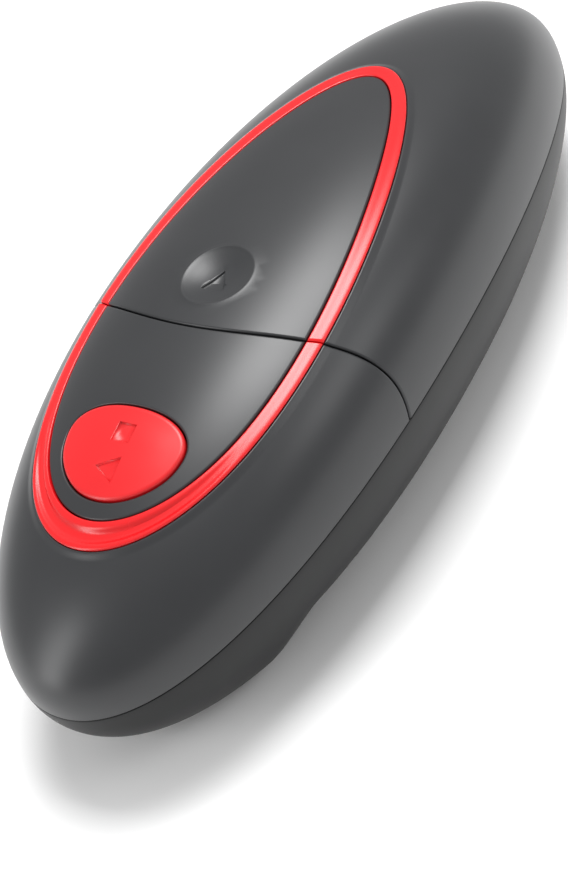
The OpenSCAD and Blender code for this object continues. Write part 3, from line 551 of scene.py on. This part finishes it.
def solid(name, verts_mm, faces, normals=None):
    """A mesh object from points in millimetres, smooth shaded, with its own normals if given."""
    mesh = bpy.data.meshes.new(name)
    mesh.from_pydata([tuple(v) for v in np.asarray(verts_mm) * MM], [], [tuple(map(int, f)) for f in faces])
    mesh.polygons.foreach_set("use_smooth", [True] * len(mesh.polygons))
    mesh.update()
    if normals is not None:
        mesh.normals_split_custom_set_from_vertices([tuple(n) for n in normals])
    obj = bpy.data.objects.new(name, mesh)
    bpy.context.scene.collection.objects.link(obj)
    return obj


def settle(obj, body, node, material):
    """Puts a piece on its body in place of its CAD node, with its finish."""
    obj.data.materials.clear()
    obj.data.materials.append(material)
    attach(obj, body)
    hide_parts(node)


# ---- materials ----

def add(tree, kind, inputs=None, **settings):
    """Adds a node, sets its fields, and sets or links its inputs."""
    node = tree.nodes.new(kind)
    for key, value in settings.items():
        setattr(node, key, value)
    for key, value in (inputs or {}).items():
        if isinstance(value, bpy.types.NodeSocket):
            tree.links.new(value, node.inputs[key])
        else:
            node.inputs[key].default_value = value
    return node


def start_material(name):
    """An empty material with its shader and the object's own coordinates."""
    material = bpy.data.materials.get(name) or bpy.data.materials.new(name)
    material.use_nodes = True
    tree = material.node_tree
    tree.nodes.clear()
    shader = add(tree, "ShaderNodeBsdfPrincipled")
    add(tree, "ShaderNodeOutputMaterial", {"Surface": shader.outputs[0]})
    where = add(tree, "ShaderNodeTexCoord").outputs["Object"]
    return material, tree, shader, where


def per_metre(millimetres):
    """Noise scale that gives a pattern of this size."""
    return 1 / (millimetres * MM)


def set_shader(shader, **values):
    """Sets even values straight on the shader, with _ for a space in a name."""
    for key, value in values.items():
        shader.inputs[key.replace("_", " ")].default_value = value


def mottled(tree, where, low, high, size_mm):
    """A colour that drifts between two close tones."""
    noise = add(tree, "ShaderNodeTexNoise",
                {"Vector": where, "Scale": per_metre(size_mm), "Detail": 3.0, "Roughness": 0.55})
    ramp = add(tree, "ShaderNodeValToRGB", {"Fac": noise.outputs["Fac"]})
    ramp.color_ramp.elements[0].position = 0.3
    ramp.color_ramp.elements[1].position = 0.7
    ramp.color_ramp.elements[0].color = low
    ramp.color_ramp.elements[1].color = high
    return ramp.outputs["Color"]


def ranged(tree, value, low, high):
    """A noise value moved into a range."""
    return add(tree, "ShaderNodeMapRange", {"Value": value, "To Min": low, "To Max": high}).outputs["Result"]


def tint(colour, factor):
    """A linear colour made lighter or darker."""
    return [min(1.0, c * factor) for c in colour[:3]] + [1.0]


def moulded_plastic(name, code, roughness, grain_mm=0.35, bump=0.05, ior=1.53, spread=0.05, shine=0.5):
    """Injection-moulded plastic: the spark-eroded tool leaves a fine even grain that softens highlights."""
    material, tree, shader, where = start_material(name)
    colour = srgb(code)
    tree.links.new(mottled(tree, where, tint(colour, 1 - spread), tint(colour, 1 + spread), 14),
                   shader.inputs["Base Color"])
    grain = add(tree, "ShaderNodeTexNoise",
                {"Vector": where, "Scale": per_metre(grain_mm), "Detail": 2.0, "Roughness": 0.6})
    handled = add(tree, "ShaderNodeTexNoise", {"Vector": where, "Scale": per_metre(30), "Detail": 4.0})
    tree.links.new(ranged(tree, handled.outputs["Fac"], roughness - 0.04, roughness + 0.04),
                   shader.inputs["Roughness"])
    lump = add(tree, "ShaderNodeBump",
               {"Height": grain.outputs["Fac"], "Strength": bump, "Distance": 0.05 * MM})
    tree.links.new(lump.outputs["Normal"], shader.inputs["Normal"])
    set_shader(shader, IOR=ior, Specular_IOR_Level=shine)
    return material


def worked_metal(name, code, roughness, stretch=(1.0, 1.0, 1.0), size_mm=0.6, bump=0.12):
    """Metal with its working marks: streaks along the way it was drawn, turned or ground."""
    material, tree, shader, where = start_material(name)
    colour = srgb(code)
    mapped = add(tree, "ShaderNodeMapping", {"Vector": where, "Scale": stretch}).outputs["Vector"]
    streak = add(tree, "ShaderNodeTexNoise",
                 {"Vector": mapped, "Scale": per_metre(size_mm), "Detail": 5.0, "Roughness": 0.65})
    tree.links.new(mottled(tree, where, tint(colour, 0.86), tint(colour, 1.06), 4),
                   shader.inputs["Base Color"])
    tree.links.new(ranged(tree, streak.outputs["Fac"], roughness - 0.08, roughness + 0.12),
                   shader.inputs["Roughness"])
    lump = add(tree, "ShaderNodeBump",
               {"Height": streak.outputs["Fac"], "Strength": bump, "Distance": 0.04 * MM})
    tree.links.new(lump.outputs["Normal"], shader.inputs["Normal"])
    set_shader(shader, Metallic=1.0)
    return material


def circuit_laminate():
    """Glass-epoxy board under solder mask: green with paler copper tracks raised beneath it."""
    material, tree, shader, where = start_material("solder_mask_on_glass_epoxy")
    track = add(tree, "ShaderNodeTexBrick", {
        "Vector": where, "Scale": per_metre(1.0), "Mortar Size": 0.18, "Brick Width": 5.2, "Row Height": 2.4,
        "Color1": srgb("#1f5a33"), "Color2": srgb("#236239"), "Mortar": srgb("#3f8f55")})
    tree.links.new(track.outputs["Color"], shader.inputs["Base Color"])
    lump = add(tree, "ShaderNodeBump",
               {"Height": track.outputs["Fac"], "Strength": 0.3, "Distance": 0.05 * MM})
    tree.links.new(lump.outputs["Normal"], shader.inputs["Normal"])
    set_shader(shader, Roughness=0.32, IOR=1.55)
    return material


def cell_sleeve():
    """Printed PVC sleeve of an alkaline cell: a dark body and a copper-coloured band at one end."""
    material, tree, shader, where = start_material("printed_pvc_sleeve")
    low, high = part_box("cell_1")
    axis = add(tree, "ShaderNodeSeparateXYZ", {"Vector": where}).outputs["X"]
    along = add(tree, "ShaderNodeMapRange", {"Value": axis, "From Min": low.x, "From Max": high.x})
    ramp = add(tree, "ShaderNodeValToRGB", {"Fac": along.outputs["Result"]})
    ramp.color_ramp.interpolation = "CONSTANT"
    for place, code in ((0.0, "#b9bcc0"), (0.03, "#b4713c"), (0.3, "#1d1e20"), (0.975, "#c3c6c9")):
        stop = ramp.color_ramp.elements[0] if place == 0 else ramp.color_ramp.elements.new(place)
        stop.color = srgb(code)
    ramp.color_ramp.elements[-1].color = srgb("#c3c6c9")
    noise = add(tree, "ShaderNodeTexNoise", {"Vector": where, "Scale": per_metre(6), "Detail": 4.0})
    tree.links.new(ramp.outputs["Color"], shader.inputs["Base Color"])
    tree.links.new(ranged(tree, noise.outputs["Fac"], 0.22, 0.36), shader.inputs["Roughness"])
    set_shader(shader, IOR=1.53, Metallic=0.25, Coat_Weight=0.4)
    return material


def printed_foil():
    """Anodised foil plate with rows of plain printed bars, satin with a cross-brushed look."""
    material, tree, shader, where = start_material("brushed_foil_plate")
    bars = add(tree, "ShaderNodeTexBrick", {
        "Vector": where, "Scale": per_metre(1.0), "Mortar Size": 0.6, "Brick Width": 15.0, "Row Height": 1.9,
        "Color1": srgb("#8c8f93"), "Color2": srgb("#96999d"), "Mortar": srgb("#a6a9ad")})
    mapped = add(tree, "ShaderNodeMapping", {"Vector": where, "Scale": (1.0, 25.0, 1.0)}).outputs["Vector"]
    brush = add(tree, "ShaderNodeTexNoise", {"Vector": mapped, "Scale": per_metre(3), "Detail": 4.0})
    tree.links.new(bars.outputs["Color"], shader.inputs["Base Color"])
    tree.links.new(ranged(tree, brush.outputs["Fac"], 0.28, 0.45), shader.inputs["Roughness"])
    set_shader(shader, Metallic=0.8)
    return material


def slot_materials():
    """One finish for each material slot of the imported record."""
    f = bpy.context.scene.opener_finishes
    return {
        "case_grey": moulded_plastic("satin_abs_charcoal", f.cover, 0.36),
        "case_dark": moulded_plastic("satin_abs_dark", f.lower, 0.45, shine=0.3),
        "trim_red": moulded_plastic("gloss_abs_red", f.trim, 0.27, bump=0.02, spread=0.02),
        "button_red": moulded_plastic("satin_abs_red", f.button, 0.36, bump=0.03, spread=0.02),
        "spring_steel": worked_metal("drawn_spring_steel", "#a9adb1", 0.28, (1, 1, 4)),
        "board_green": circuit_laminate(),
        "switch_black": moulded_plastic("moulded_pbt_black", "#1c1d1f", 0.45, bump=0.08),
        "screw_steel": worked_metal("zinc_plated_steel", "#b9bdc4", 0.3, size_mm=1.2),
        "tray_black": moulded_plastic("moulded_abs_black", "#242527", 0.48, bump=0.12),
        "cell_jacket": cell_sleeve(),
        "contact_nickel": worked_metal("nickel_plated_strip", "#cfcabf", 0.22, (1, 6, 1)),
        "motor_steel": worked_metal("drawn_zinc_steel_can", "#aeb1b4", 0.34, (1, 1, 0.15)),
        "motor_nylon": moulded_plastic("natural_nylon_cap", "#e9e4d6", 0.42, bump=0.08),
        "shaft_steel": worked_metal("ground_shaft_steel", "#b2b5b8", 0.18, (1, 1, 6)),
        "brass": worked_metal("hobbed_brass", "#d2a452", 0.26),
        "bronze": worked_metal("sintered_bronze", "#a87a45", 0.42, size_mm=0.3, bump=0.3),
        "frame_nylon": moulded_plastic("glass_filled_nylon", "#cdc8ba", 0.5, grain_mm=0.5, bump=0.15),
        "gear_acetal": moulded_plastic("natural_acetal", "#f0ede4", 0.3, bump=0.04),
        "hard_steel": worked_metal("ground_hardened_steel", "#c2c5c8", 0.2, size_mm=0.4),
        "turret_black": moulded_plastic("moulded_acetal_black", "#2c2d2f", 0.38, bump=0.1),
        "magnet_nickel": worked_metal("bright_nickel_plate", "#c9c7c2", 0.16, size_mm=2),
        "label_silver": printed_foil(),
        "foot_rubber": moulded_plastic("moulded_rubber_black", "#191a1b", 0.78, grain_mm=0.6, bump=0.25),
    }


# ---- operators ----

class BuildFinishes(bpy.types.Operator):
    """Make every finish and put it on the CAD pieces that stay in view"""

    bl_idname = "opener.finishes"
    bl_label = "Finishes"

    def execute(self, context):
        made = slot_materials()
        for part in frame["record"]["subparts"]:
            if part["material_slot"] not in made:
                raise RuntimeError("no finish for slot " + part["material_slot"])
            mesh = frame["nodes"][part["node"]].data
            mesh.materials.clear()
            mesh.materials.append(made[part["material_slot"]])
        return {"FINISHED"}


def finish_of(name):
    """A finish made by the finishes operator."""
    material = bpy.data.materials.get(name)
    if material is None:
        raise RuntimeError("make the finishes first: " + name)
    return material


class BuildCovers(bpy.types.Operator):
    """Build the front cover, the battery cover and the start button"""

    bl_idname = "opener.covers"
    bl_label = "Covers and button"

    def execute(self, context):
        covers = Covers()
        wall = covers.shell.c.wall
        grey = finish_of("satin_abs_charcoal")
        settle(covers.build("front_cover_skin", "front", wall), "case", "front_cover", grey)
        settle(covers.build("battery_cover_skin", "rear", wall), "battery_cover", "battery_cover",
               grey)
        settle(covers.build("start_button_cap", "button", 1.6), "button", "start_button",
               finish_of("satin_abs_red"))
        return {"FINISHED"}


class BuildRing(bpy.types.Operator):
    """Build both halves of the red trim ring with its scooped front"""

    bl_idname = "opener.ring"
    bl_label = "Trim ring"

    ACROSS = 22
    ALONG = 340

    def profile(self, share, angle):
        """Height of the band above the case, from its inner edge (0) to its outer edge (1)."""
        lip = sizes()[1].ring_proud
        crescent = smooth((-np.cos(angle) - 0.55) / 0.4)
        plain = 0.1 + (lip - 0.1) * smooth(share / 0.85)
        shoulder = 0.3 * (1 - smooth((share - 0.26) / 0.14))
        scooped = shoulder - 0.35 * smooth((share - 0.2) / 0.2) + (lip + 0.35) * smooth((share - 0.62) / 0.24)
        height = plain * (1 - crescent) + scooped * crescent
        return height - rounding(np.minimum(share, 1 - share) * 3.6, 0.3)

    def half(self, name, side):
        """One half of the ring: -1 for the button's side of the split, 1 for the battery side."""
        shell = Shell()
        across = (1 - np.cos(np.linspace(0, math.pi, self.ACROSS))) / 2
        grid = []
        for share in across:
            def at(angle, share=share):
                o, i = shell.oval_points("outer", angle), shell.oval_points("inner", angle)
                return i + (o - i) * share

            ends = []
            for sign in (-1, 1):
                low, high = 0.02, math.pi - 0.02
                for _ in range(40):
                    mid = (low + high) / 2
                    p = shell.point(shell.flatten(*at(np.array([sign * mid])).T))
                    if shell.split(p)[0] > side * shell.c.gap / 2:
                        low = mid
                    else:
                        high = mid
                ends.append(sign * low)
            first, last = (ends[1], ends[0] + 2 * math.pi) if side < 0 else (ends[0], ends[1])
            step = np.linspace(0, 1, self.ALONG)
            ease = 0.5 * step + 0.25 * (1 - np.cos(step * math.pi))
            angle = first + (last - first) * ease
            plan = at(angle)
            q = shell.flatten(plan[:, 0], plan[:, 1])
            p = shell.point(q)
            height = self.profile(share, angle) - rounding(np.abs(shell.split(p)) - shell.c.gap / 2, 0.22)
            grid.append((p + shell.normal(q) * height[:, None], p - shell.normal(q) * shell.t.ring_seat))
        top = np.array([g[0] for g in grid])
        foot = np.array([grid[0][1], grid[-1][1]])
        loops = np.concatenate([foot[:1], top, foot[1:]])
        rows, columns = loops.shape[:2]
        faces = [((r % rows) * columns + i, (r % rows) * columns + i + 1,
                  ((r + 1) % rows) * columns + i + 1, ((r + 1) % rows) * columns + i)
                 for r in range(rows) for i in range(columns - 1)]
        faces.append([r * columns for r in range(rows)])
        faces.append([r * columns + columns - 1 for r in reversed(range(rows))])
        obj = solid(name, loops.reshape(-1, 3), faces)
        tidy_normals(obj, 40)
        return obj

    def execute(self, context):
        red = finish_of("gloss_abs_red")
        settle(self.half("trim_ring_front_band", -1), "case", "trim_ring_front", red)
        settle(self.half("trim_ring_rear_band", 1), "battery_cover", "trim_ring_rear", red)
        return {"FINISHED"}


def tidy_normals(obj, degrees):
    """Faces turned outwards, and edges sharper than an angle kept sharp."""
    work = bmesh.new()
    work.from_mesh(obj.data)
    bmesh.ops.recalc_face_normals(work, faces=work.faces)
    for edge in work.edges:
        if len(edge.link_faces) == 2:
            edge.smooth = edge.calc_face_angle(0) < math.radians(degrees)
    work.to_mesh(obj.data)
    work.free()


def drum(name, x, y, low, high, radius, steps=64):
    """A round post or cutter along Z."""
    turn = np.linspace(0, 2 * math.pi, steps, endpoint=False)
    verts = [(x + radius * math.cos(a), y + radius * math.sin(a), z) for z in (low, high) for a in turn]
    faces = [(i, (i + 1) % steps, steps + (i + 1) % steps, steps + i) for i in range(steps)]
    faces += [list(reversed(range(steps))), list(range(steps, 2 * steps))]
    return solid(name, verts, faces)


def prism(name, outline, low, high, axis="z"):
    """A straight prism from a plan outline, or a side outline swept across."""
    count = len(outline)
    if axis == "z":
        verts = [(u, v, w) for w in (low, high) for u, v in outline]
    else:
        verts = [(u, w, v) for w in (low, high) for u, v in outline]
    faces = [(i, (i + 1) % count, count + (i + 1) % count, count + i) for i in range(count)]
    faces += [list(reversed(range(count))), list(range(count, 2 * count))]
    obj = solid(name, verts, faces)
    tidy_normals(obj, 30)
    return obj


def apply_boolean(obj, cutters, operation):
    """Cuts the cutters out of obj, or joins them on, and removes them."""
    for cutter in cutters:
        modifier = obj.modifiers.new("work", "BOOLEAN")
        modifier.operation = operation
        modifier.solver = "EXACT"
        modifier.object = cutter
    bpy.context.view_layer.update()
    result = bpy.data.meshes.new_from_object(obj.evaluated_get(bpy.context.evaluated_depsgraph_get()))
    obj.modifiers.clear()
    obj.data = result
    for cutter in cutters:
        bpy.data.objects.remove(cutter)


def node_islands(node):
    """Middle and box of each separate solid of a CAD node, in millimetres."""
    work = bmesh.new()
    work.from_mesh(frame["nodes"][node].data)
    bmesh.ops.remove_doubles(work, verts=work.verts, dist=1e-6)
    left = set(work.verts)
    found = []
    while left:
        stack, group = [left.pop()], []
        while stack:
            v = stack.pop()
            group.append(v.co / MM)
            for e in v.link_edges:
                other = e.other_vert(v)
                if other in left:
                    left.discard(other)
                    stack.append(other)
        points = np.array(group)
        found.append(((points.min(0) + points.max(0)) / 2, points.min(0), points.max(0)))
    work.free()
    return sorted(found, key=lambda f: (round(f[0][0], 2), round(f[0][1], 2)))


class BuildLowerCase(bpy.types.Operator):
    """Build the lower case with its toe, ramp, pockets, skid and bosses"""

    bl_idname = "opener.lower_case"
    bl_label = "Lower case"

    AROUND = 288
    UP = 70
    POCKET_CLEAR = 0.6
    POCKET_DEPTH = 2.7
    POCKET_WALL = 1.8
    BOSS_WALL = 2.0
    HUB_HOLE = 4.7
    SCREW_BOSS = 3.0
    SCREW_HOLE = 2.7
    FOOT_SEAT = 3.6
    PLATE_CLEAR = 0.2
    PLATE_SEAT = 0.4
    SKID_REACH = 15
    SINK = 0.5
    THROUGH = 40

    def underside(self, x, raise_by, shift):
        """Height of the flat toe, the ramp and the raised rear underside."""
        c = sizes()[0]
        start = -HALF_LENGTH + c.ramp_start + shift
        return raise_by + c.lift * smooth((x - start) / c.ramp_length)

    def rings(self, inset, raise_by, shift, soft):
        """Loops of the outer or inner skin, from the seam down to the middle of the underside."""
        shell, c = Shell(), sizes()[0]
        turn = np.linspace(0, 2 * math.pi, self.AROUND, endpoint=False)
        edge = c.seam_edge if not inset else 0.0
        heights = [0.0, 0.04, 0.1, 0.18, 0.3]
        rise = [math.asin(min(1, h / c.rear_keel) ** (c.keel_power / 2)) for h in heights]
        rise += list(np.linspace(rise[-1], math.pi / 2, self.UP)[1:-1])
        out = []
        for s in rise:
            share = math.cos(s) ** (2 / c.keel_power)
            x = share * (HALF_LENGTH - inset) * spow(np.cos(turn), 2 / c.outline_power)
            y = share * (c.half_width - inset) * spow(np.sin(turn), 2 / c.outline_power)
            y = y * shell.widen(x)
            end = -HALF_LENGTH + c.ramp_start + c.ramp_length
            keel = c.rear_keel + (c.toe_keel - c.rear_keel) * smooth((end - x) / c.ramp_length / 1.5)
            bowl = shell.seam(x) - (keel - inset) * math.sin(s) ** (2 / c.keel_power)
            flat = self.underside(x, raise_by, shift)
            blend = np.maximum(soft - np.abs(bowl - flat), 0) / soft
            z = np.maximum(bowl, flat) + blend ** 2 * soft / 4
            if edge:
                below = shell.seam(x) - z
                pull = 1 - rounding(below, edge) / np.maximum(np.hypot(x, y), 1)
                x, y = x * pull, y * pull
            out.append(np.stack([x, y, z], -1))
        return out

    def shell_mesh(self):
        """The bare tub, before its posts and holes."""
        c = sizes()[0]
        outer = self.rings(0, 0, 0, 1.6)
        inner = self.rings(c.wall, c.wall, -1.2, 0.8)
        loops = outer + inner
        n, k = self.AROUND, len(outer)
        verts = np.concatenate(loops + [
            np.array([[0, 0, self.underside(0, 0, 0)], [0, 0, self.underside(0, c.wall, 0)]])])
        faces = []
        for r in range(k - 1):
            for i in range(n):
                j = (i + 1) % n
                faces.append((r * n + j, r * n + i, (r + 1) * n + i, (r + 1) * n + j))
                a = (k + r) * n
                faces.append((a + i, a + j, a + n + j, a + n + i))
        for i in range(n):
            j = (i + 1) % n
            faces.append((i, j, k * n + j, k * n + i))
            faces.append(((k - 1) * n + j, (k - 1) * n + i, 2 * k * n))
            faces.append(((2 * k - 1) * n + i, (2 * k - 1) * n + j, 2 * k * n + 1))
        obj = solid("lower_case_shell", verts, faces)
        tidy_normals(obj, 35)
        return obj

    def execute(self, context):
        c = sizes()[0]
        obj = self.shell_mesh()
        turret = (TURRET_LOW + TURRET_HIGH) / 2
        clip = (CLIP_LOW + CLIP_HIGH) / 2
        bush = (DRIVE_LOW + DRIVE_HIGH) / 2
        bush_radius = (DRIVE_HIGH[1] - DRIVE_LOW[1]) / 2
        cup = (CUP_LOW + CUP_HIGH) / 2
        cup_radius = (CUP_HIGH[1] - CUP_LOW[1]) / 2
        pocket = (TURRET_HIGH[1] - TURRET_LOW[1]) / 2 + self.POCKET_CLEAR
        pocket_top = c.lift + self.POCKET_DEPTH
        skid_mid = (FEET_LOW[0] + FEET_HIGH[0]) / 2
        skid_side = ((-11, c.lift + self.SINK), (-6.2, 1.9), (-5.4, 1.3),
                     (5.4, 1.3), (6.2, 1.9), (11, c.lift + self.SINK))
        outline = [(skid_mid + u, v) for u, v in skid_side]
        posts = [
            drum("post_turret", turret[0], 0, c.lift + 0.6, pocket_top + 2.2, pocket + self.POCKET_WALL),
            drum("post_drive", bush[0], 0, c.lift + self.SINK, DRIVE_HIGH[2] - 0.1,
                 bush_radius + self.BOSS_WALL),
            drum("post_cup", cup[0], 0, c.lift + self.SINK, c.lift + c.wall + 0.6,
                 cup_radius + self.BOSS_WALL),
            prism("skid_bar", outline, -self.SKID_REACH, self.SKID_REACH, axis="y"),
        ]
        for middle, low, high in node_islands("case_screws"):
            posts.append(drum("post_screw", middle[0], middle[1], 12, high[2] - 3, self.SCREW_BOSS))
        apply_boolean(obj, posts, "UNION")
        holes = [
            drum("hole_turret", turret[0], 0, c.lift - self.SINK, pocket_top, pocket),
            drum("hole_hub", clip[0], 0, c.lift - self.SINK, self.THROUGH, self.HUB_HOLE),
            drum("hole_drive", bush[0], 0, c.lift - self.SINK, self.THROUGH, bush_radius + 0.02),
            drum("hole_cup", cup[0], 0, c.lift - self.SINK, c.lift + c.wall - 0.6, cup_radius + 0.1),
        ]
        for middle, low, high in node_islands("case_screws"):
            holes.append(drum("hole_screw", middle[0], middle[1], -1, 16, self.SCREW_HOLE))
        for middle, low, high in node_islands("rear_feet"):
            holes.append(drum("hole_foot", middle[0], middle[1], -1, high[2], self.FOOT_SEAT))
        low_x, low_y = PLATE_LOW[:2] - self.PLATE_CLEAR
        high_x, high_y = PLATE_HIGH[:2] + self.PLATE_CLEAR
        plate = [(low_x, low_y), (high_x, low_y), (high_x, high_y), (low_x, high_y)]
        holes.append(prism("hole_plate", plate, c.lift - 1, c.lift + self.PLATE_SEAT))
        apply_boolean(obj, holes, "DIFFERENCE")
        tidy_normals(obj, 32)
        obj.name = "lower_case_shell"
        settle(obj, "case", "lower_case", finish_of("satin_abs_dark"))
        return {"FINISHED"}


# the camera's place, and its right, up and back directions, in metres
CAMERA_PLACE = (-0.22364, -0.23283, 0.29925)
CAMERA_AXES = ((0.4832, -0.8156, -0.3184), (0.7316, 0.1763, 0.6586), (-0.4810, -0.5511, 0.6818))
FLOOR_REACH = 9000


class BuildStage(bpy.types.Operator):
    """Build the pale floor, the studio lights and the camera"""

    bl_idname = "opener.stage"
    bl_label = "Stage"

    def light(self, name, place, aim, size, power):
        """A rectangular softbox pointed at a place."""
        data = bpy.data.lights.new(name, "AREA")
        data.shape = "RECTANGLE"
        data.size, data.size_y = size
        data.energy = power
        lamp = bpy.data.objects.new(name, data)
        bpy.context.scene.collection.objects.link(lamp)
        lamp.location = place
        lamp.rotation_mode = "QUATERNION"
        lamp.rotation_quaternion = (Vector(aim) - Vector(place)).to_track_quat("-Z", "Y")

    def execute(self, context):
        scene = context.scene
        corners = [(u * FLOOR_REACH, v * FLOOR_REACH, 0) for u, v in ((-1, -1), (1, -1), (1, 1), (-1, 1))]
        floor = solid("studio_floor", corners, [(0, 1, 2, 3)])
        floor.location.z = -0.0002
        floor.data.materials.append(
            moulded_plastic("matt_studio_paper", scene.opener_finishes.floor, 0.9, grain_mm=1.5, bump=0.02,
                            spread=0.004))
        world = bpy.data.worlds.new("studio_room")
        scene.world = world
        world.use_nodes = True
        room = world.node_tree.nodes["Background"]
        room.inputs["Color"].default_value = (1, 1, 1, 1)
        room.inputs["Strength"].default_value = 0.52
        middle = (0, 0, 0.03)
        self.light("softbox_key", (0.35, -0.8, 0.7), (-0.02, 0, 0.03), (0.5, 0.35), 1.6)
        self.light("softbox_top", (0.33, 0.03, 0.95), middle, (0.48, 0.48), 9.5)
        self.light("strip_left", (-0.75, 0.45, 0.35), middle, (0.25, 0.8), 3)
        scene.view_settings.view_transform = "Standard"
        data = bpy.data.cameras.new("camera")
        camera = bpy.data.objects.new("camera", data)
        scene.collection.objects.link(camera)
        right, up, back = (Vector(v) for v in CAMERA_AXES)
        back.normalize()
        right = (right - back * right.dot(back)).normalized()
        up = back.cross(right)
        turn = Matrix((right, up, back)).transposed().to_4x4()
        camera.matrix_world = Matrix.Translation(CAMERA_PLACE) @ turn
        data.lens = 83.55
        data.sensor_width = 36
        data.clip_start, data.clip_end = 0.01, 30
        scene.camera = camera
        return {"FINISHED"}


BUILDERS = (BuildFinishes, BuildCovers, BuildRing, BuildLowerCase, BuildStage)


class OpenerPanel(bpy.types.Panel):
    """Lists the pieces of the can opener"""

    bl_idname = "VIEW3D_PT_opener"
    bl_label = "Can opener"
    bl_space_type = "VIEW_3D"
    bl_region_type = "UI"
    bl_category = "Can opener"

    def draw(self, context):
        for builder in BUILDERS:
            self.layout.operator(builder.bl_idname)


GROUPS = (CaseSizes, TrimSizes, Finishes)


def register():
    """Adds the settings, the operators and the panel."""
    for cls in GROUPS + BUILDERS + (OpenerPanel,):
        bpy.utils.register_class(cls)
    bpy.types.Scene.opener_case = PointerProperty(type=CaseSizes)
    bpy.types.Scene.opener_trim = PointerProperty(type=TrimSizes)
    bpy.types.Scene.opener_finishes = PointerProperty(type=Finishes)


def unregister():
    """Takes them away again."""
    del bpy.types.Scene.opener_finishes
    del bpy.types.Scene.opener_trim
    del bpy.types.Scene.opener_case
    for cls in reversed(GROUPS + BUILDERS + (OpenerPanel,)):
        bpy.utils.unregister_class(cls)


def main():
    """Builds everything in order."""
    register()
    bpy.ops.opener.finishes()
    bpy.ops.opener.covers()
    bpy.ops.opener.ring()
    bpy.ops.opener.lower_case()
    bpy.ops.opener.stage()


if __name__ == "__main__":
    main()
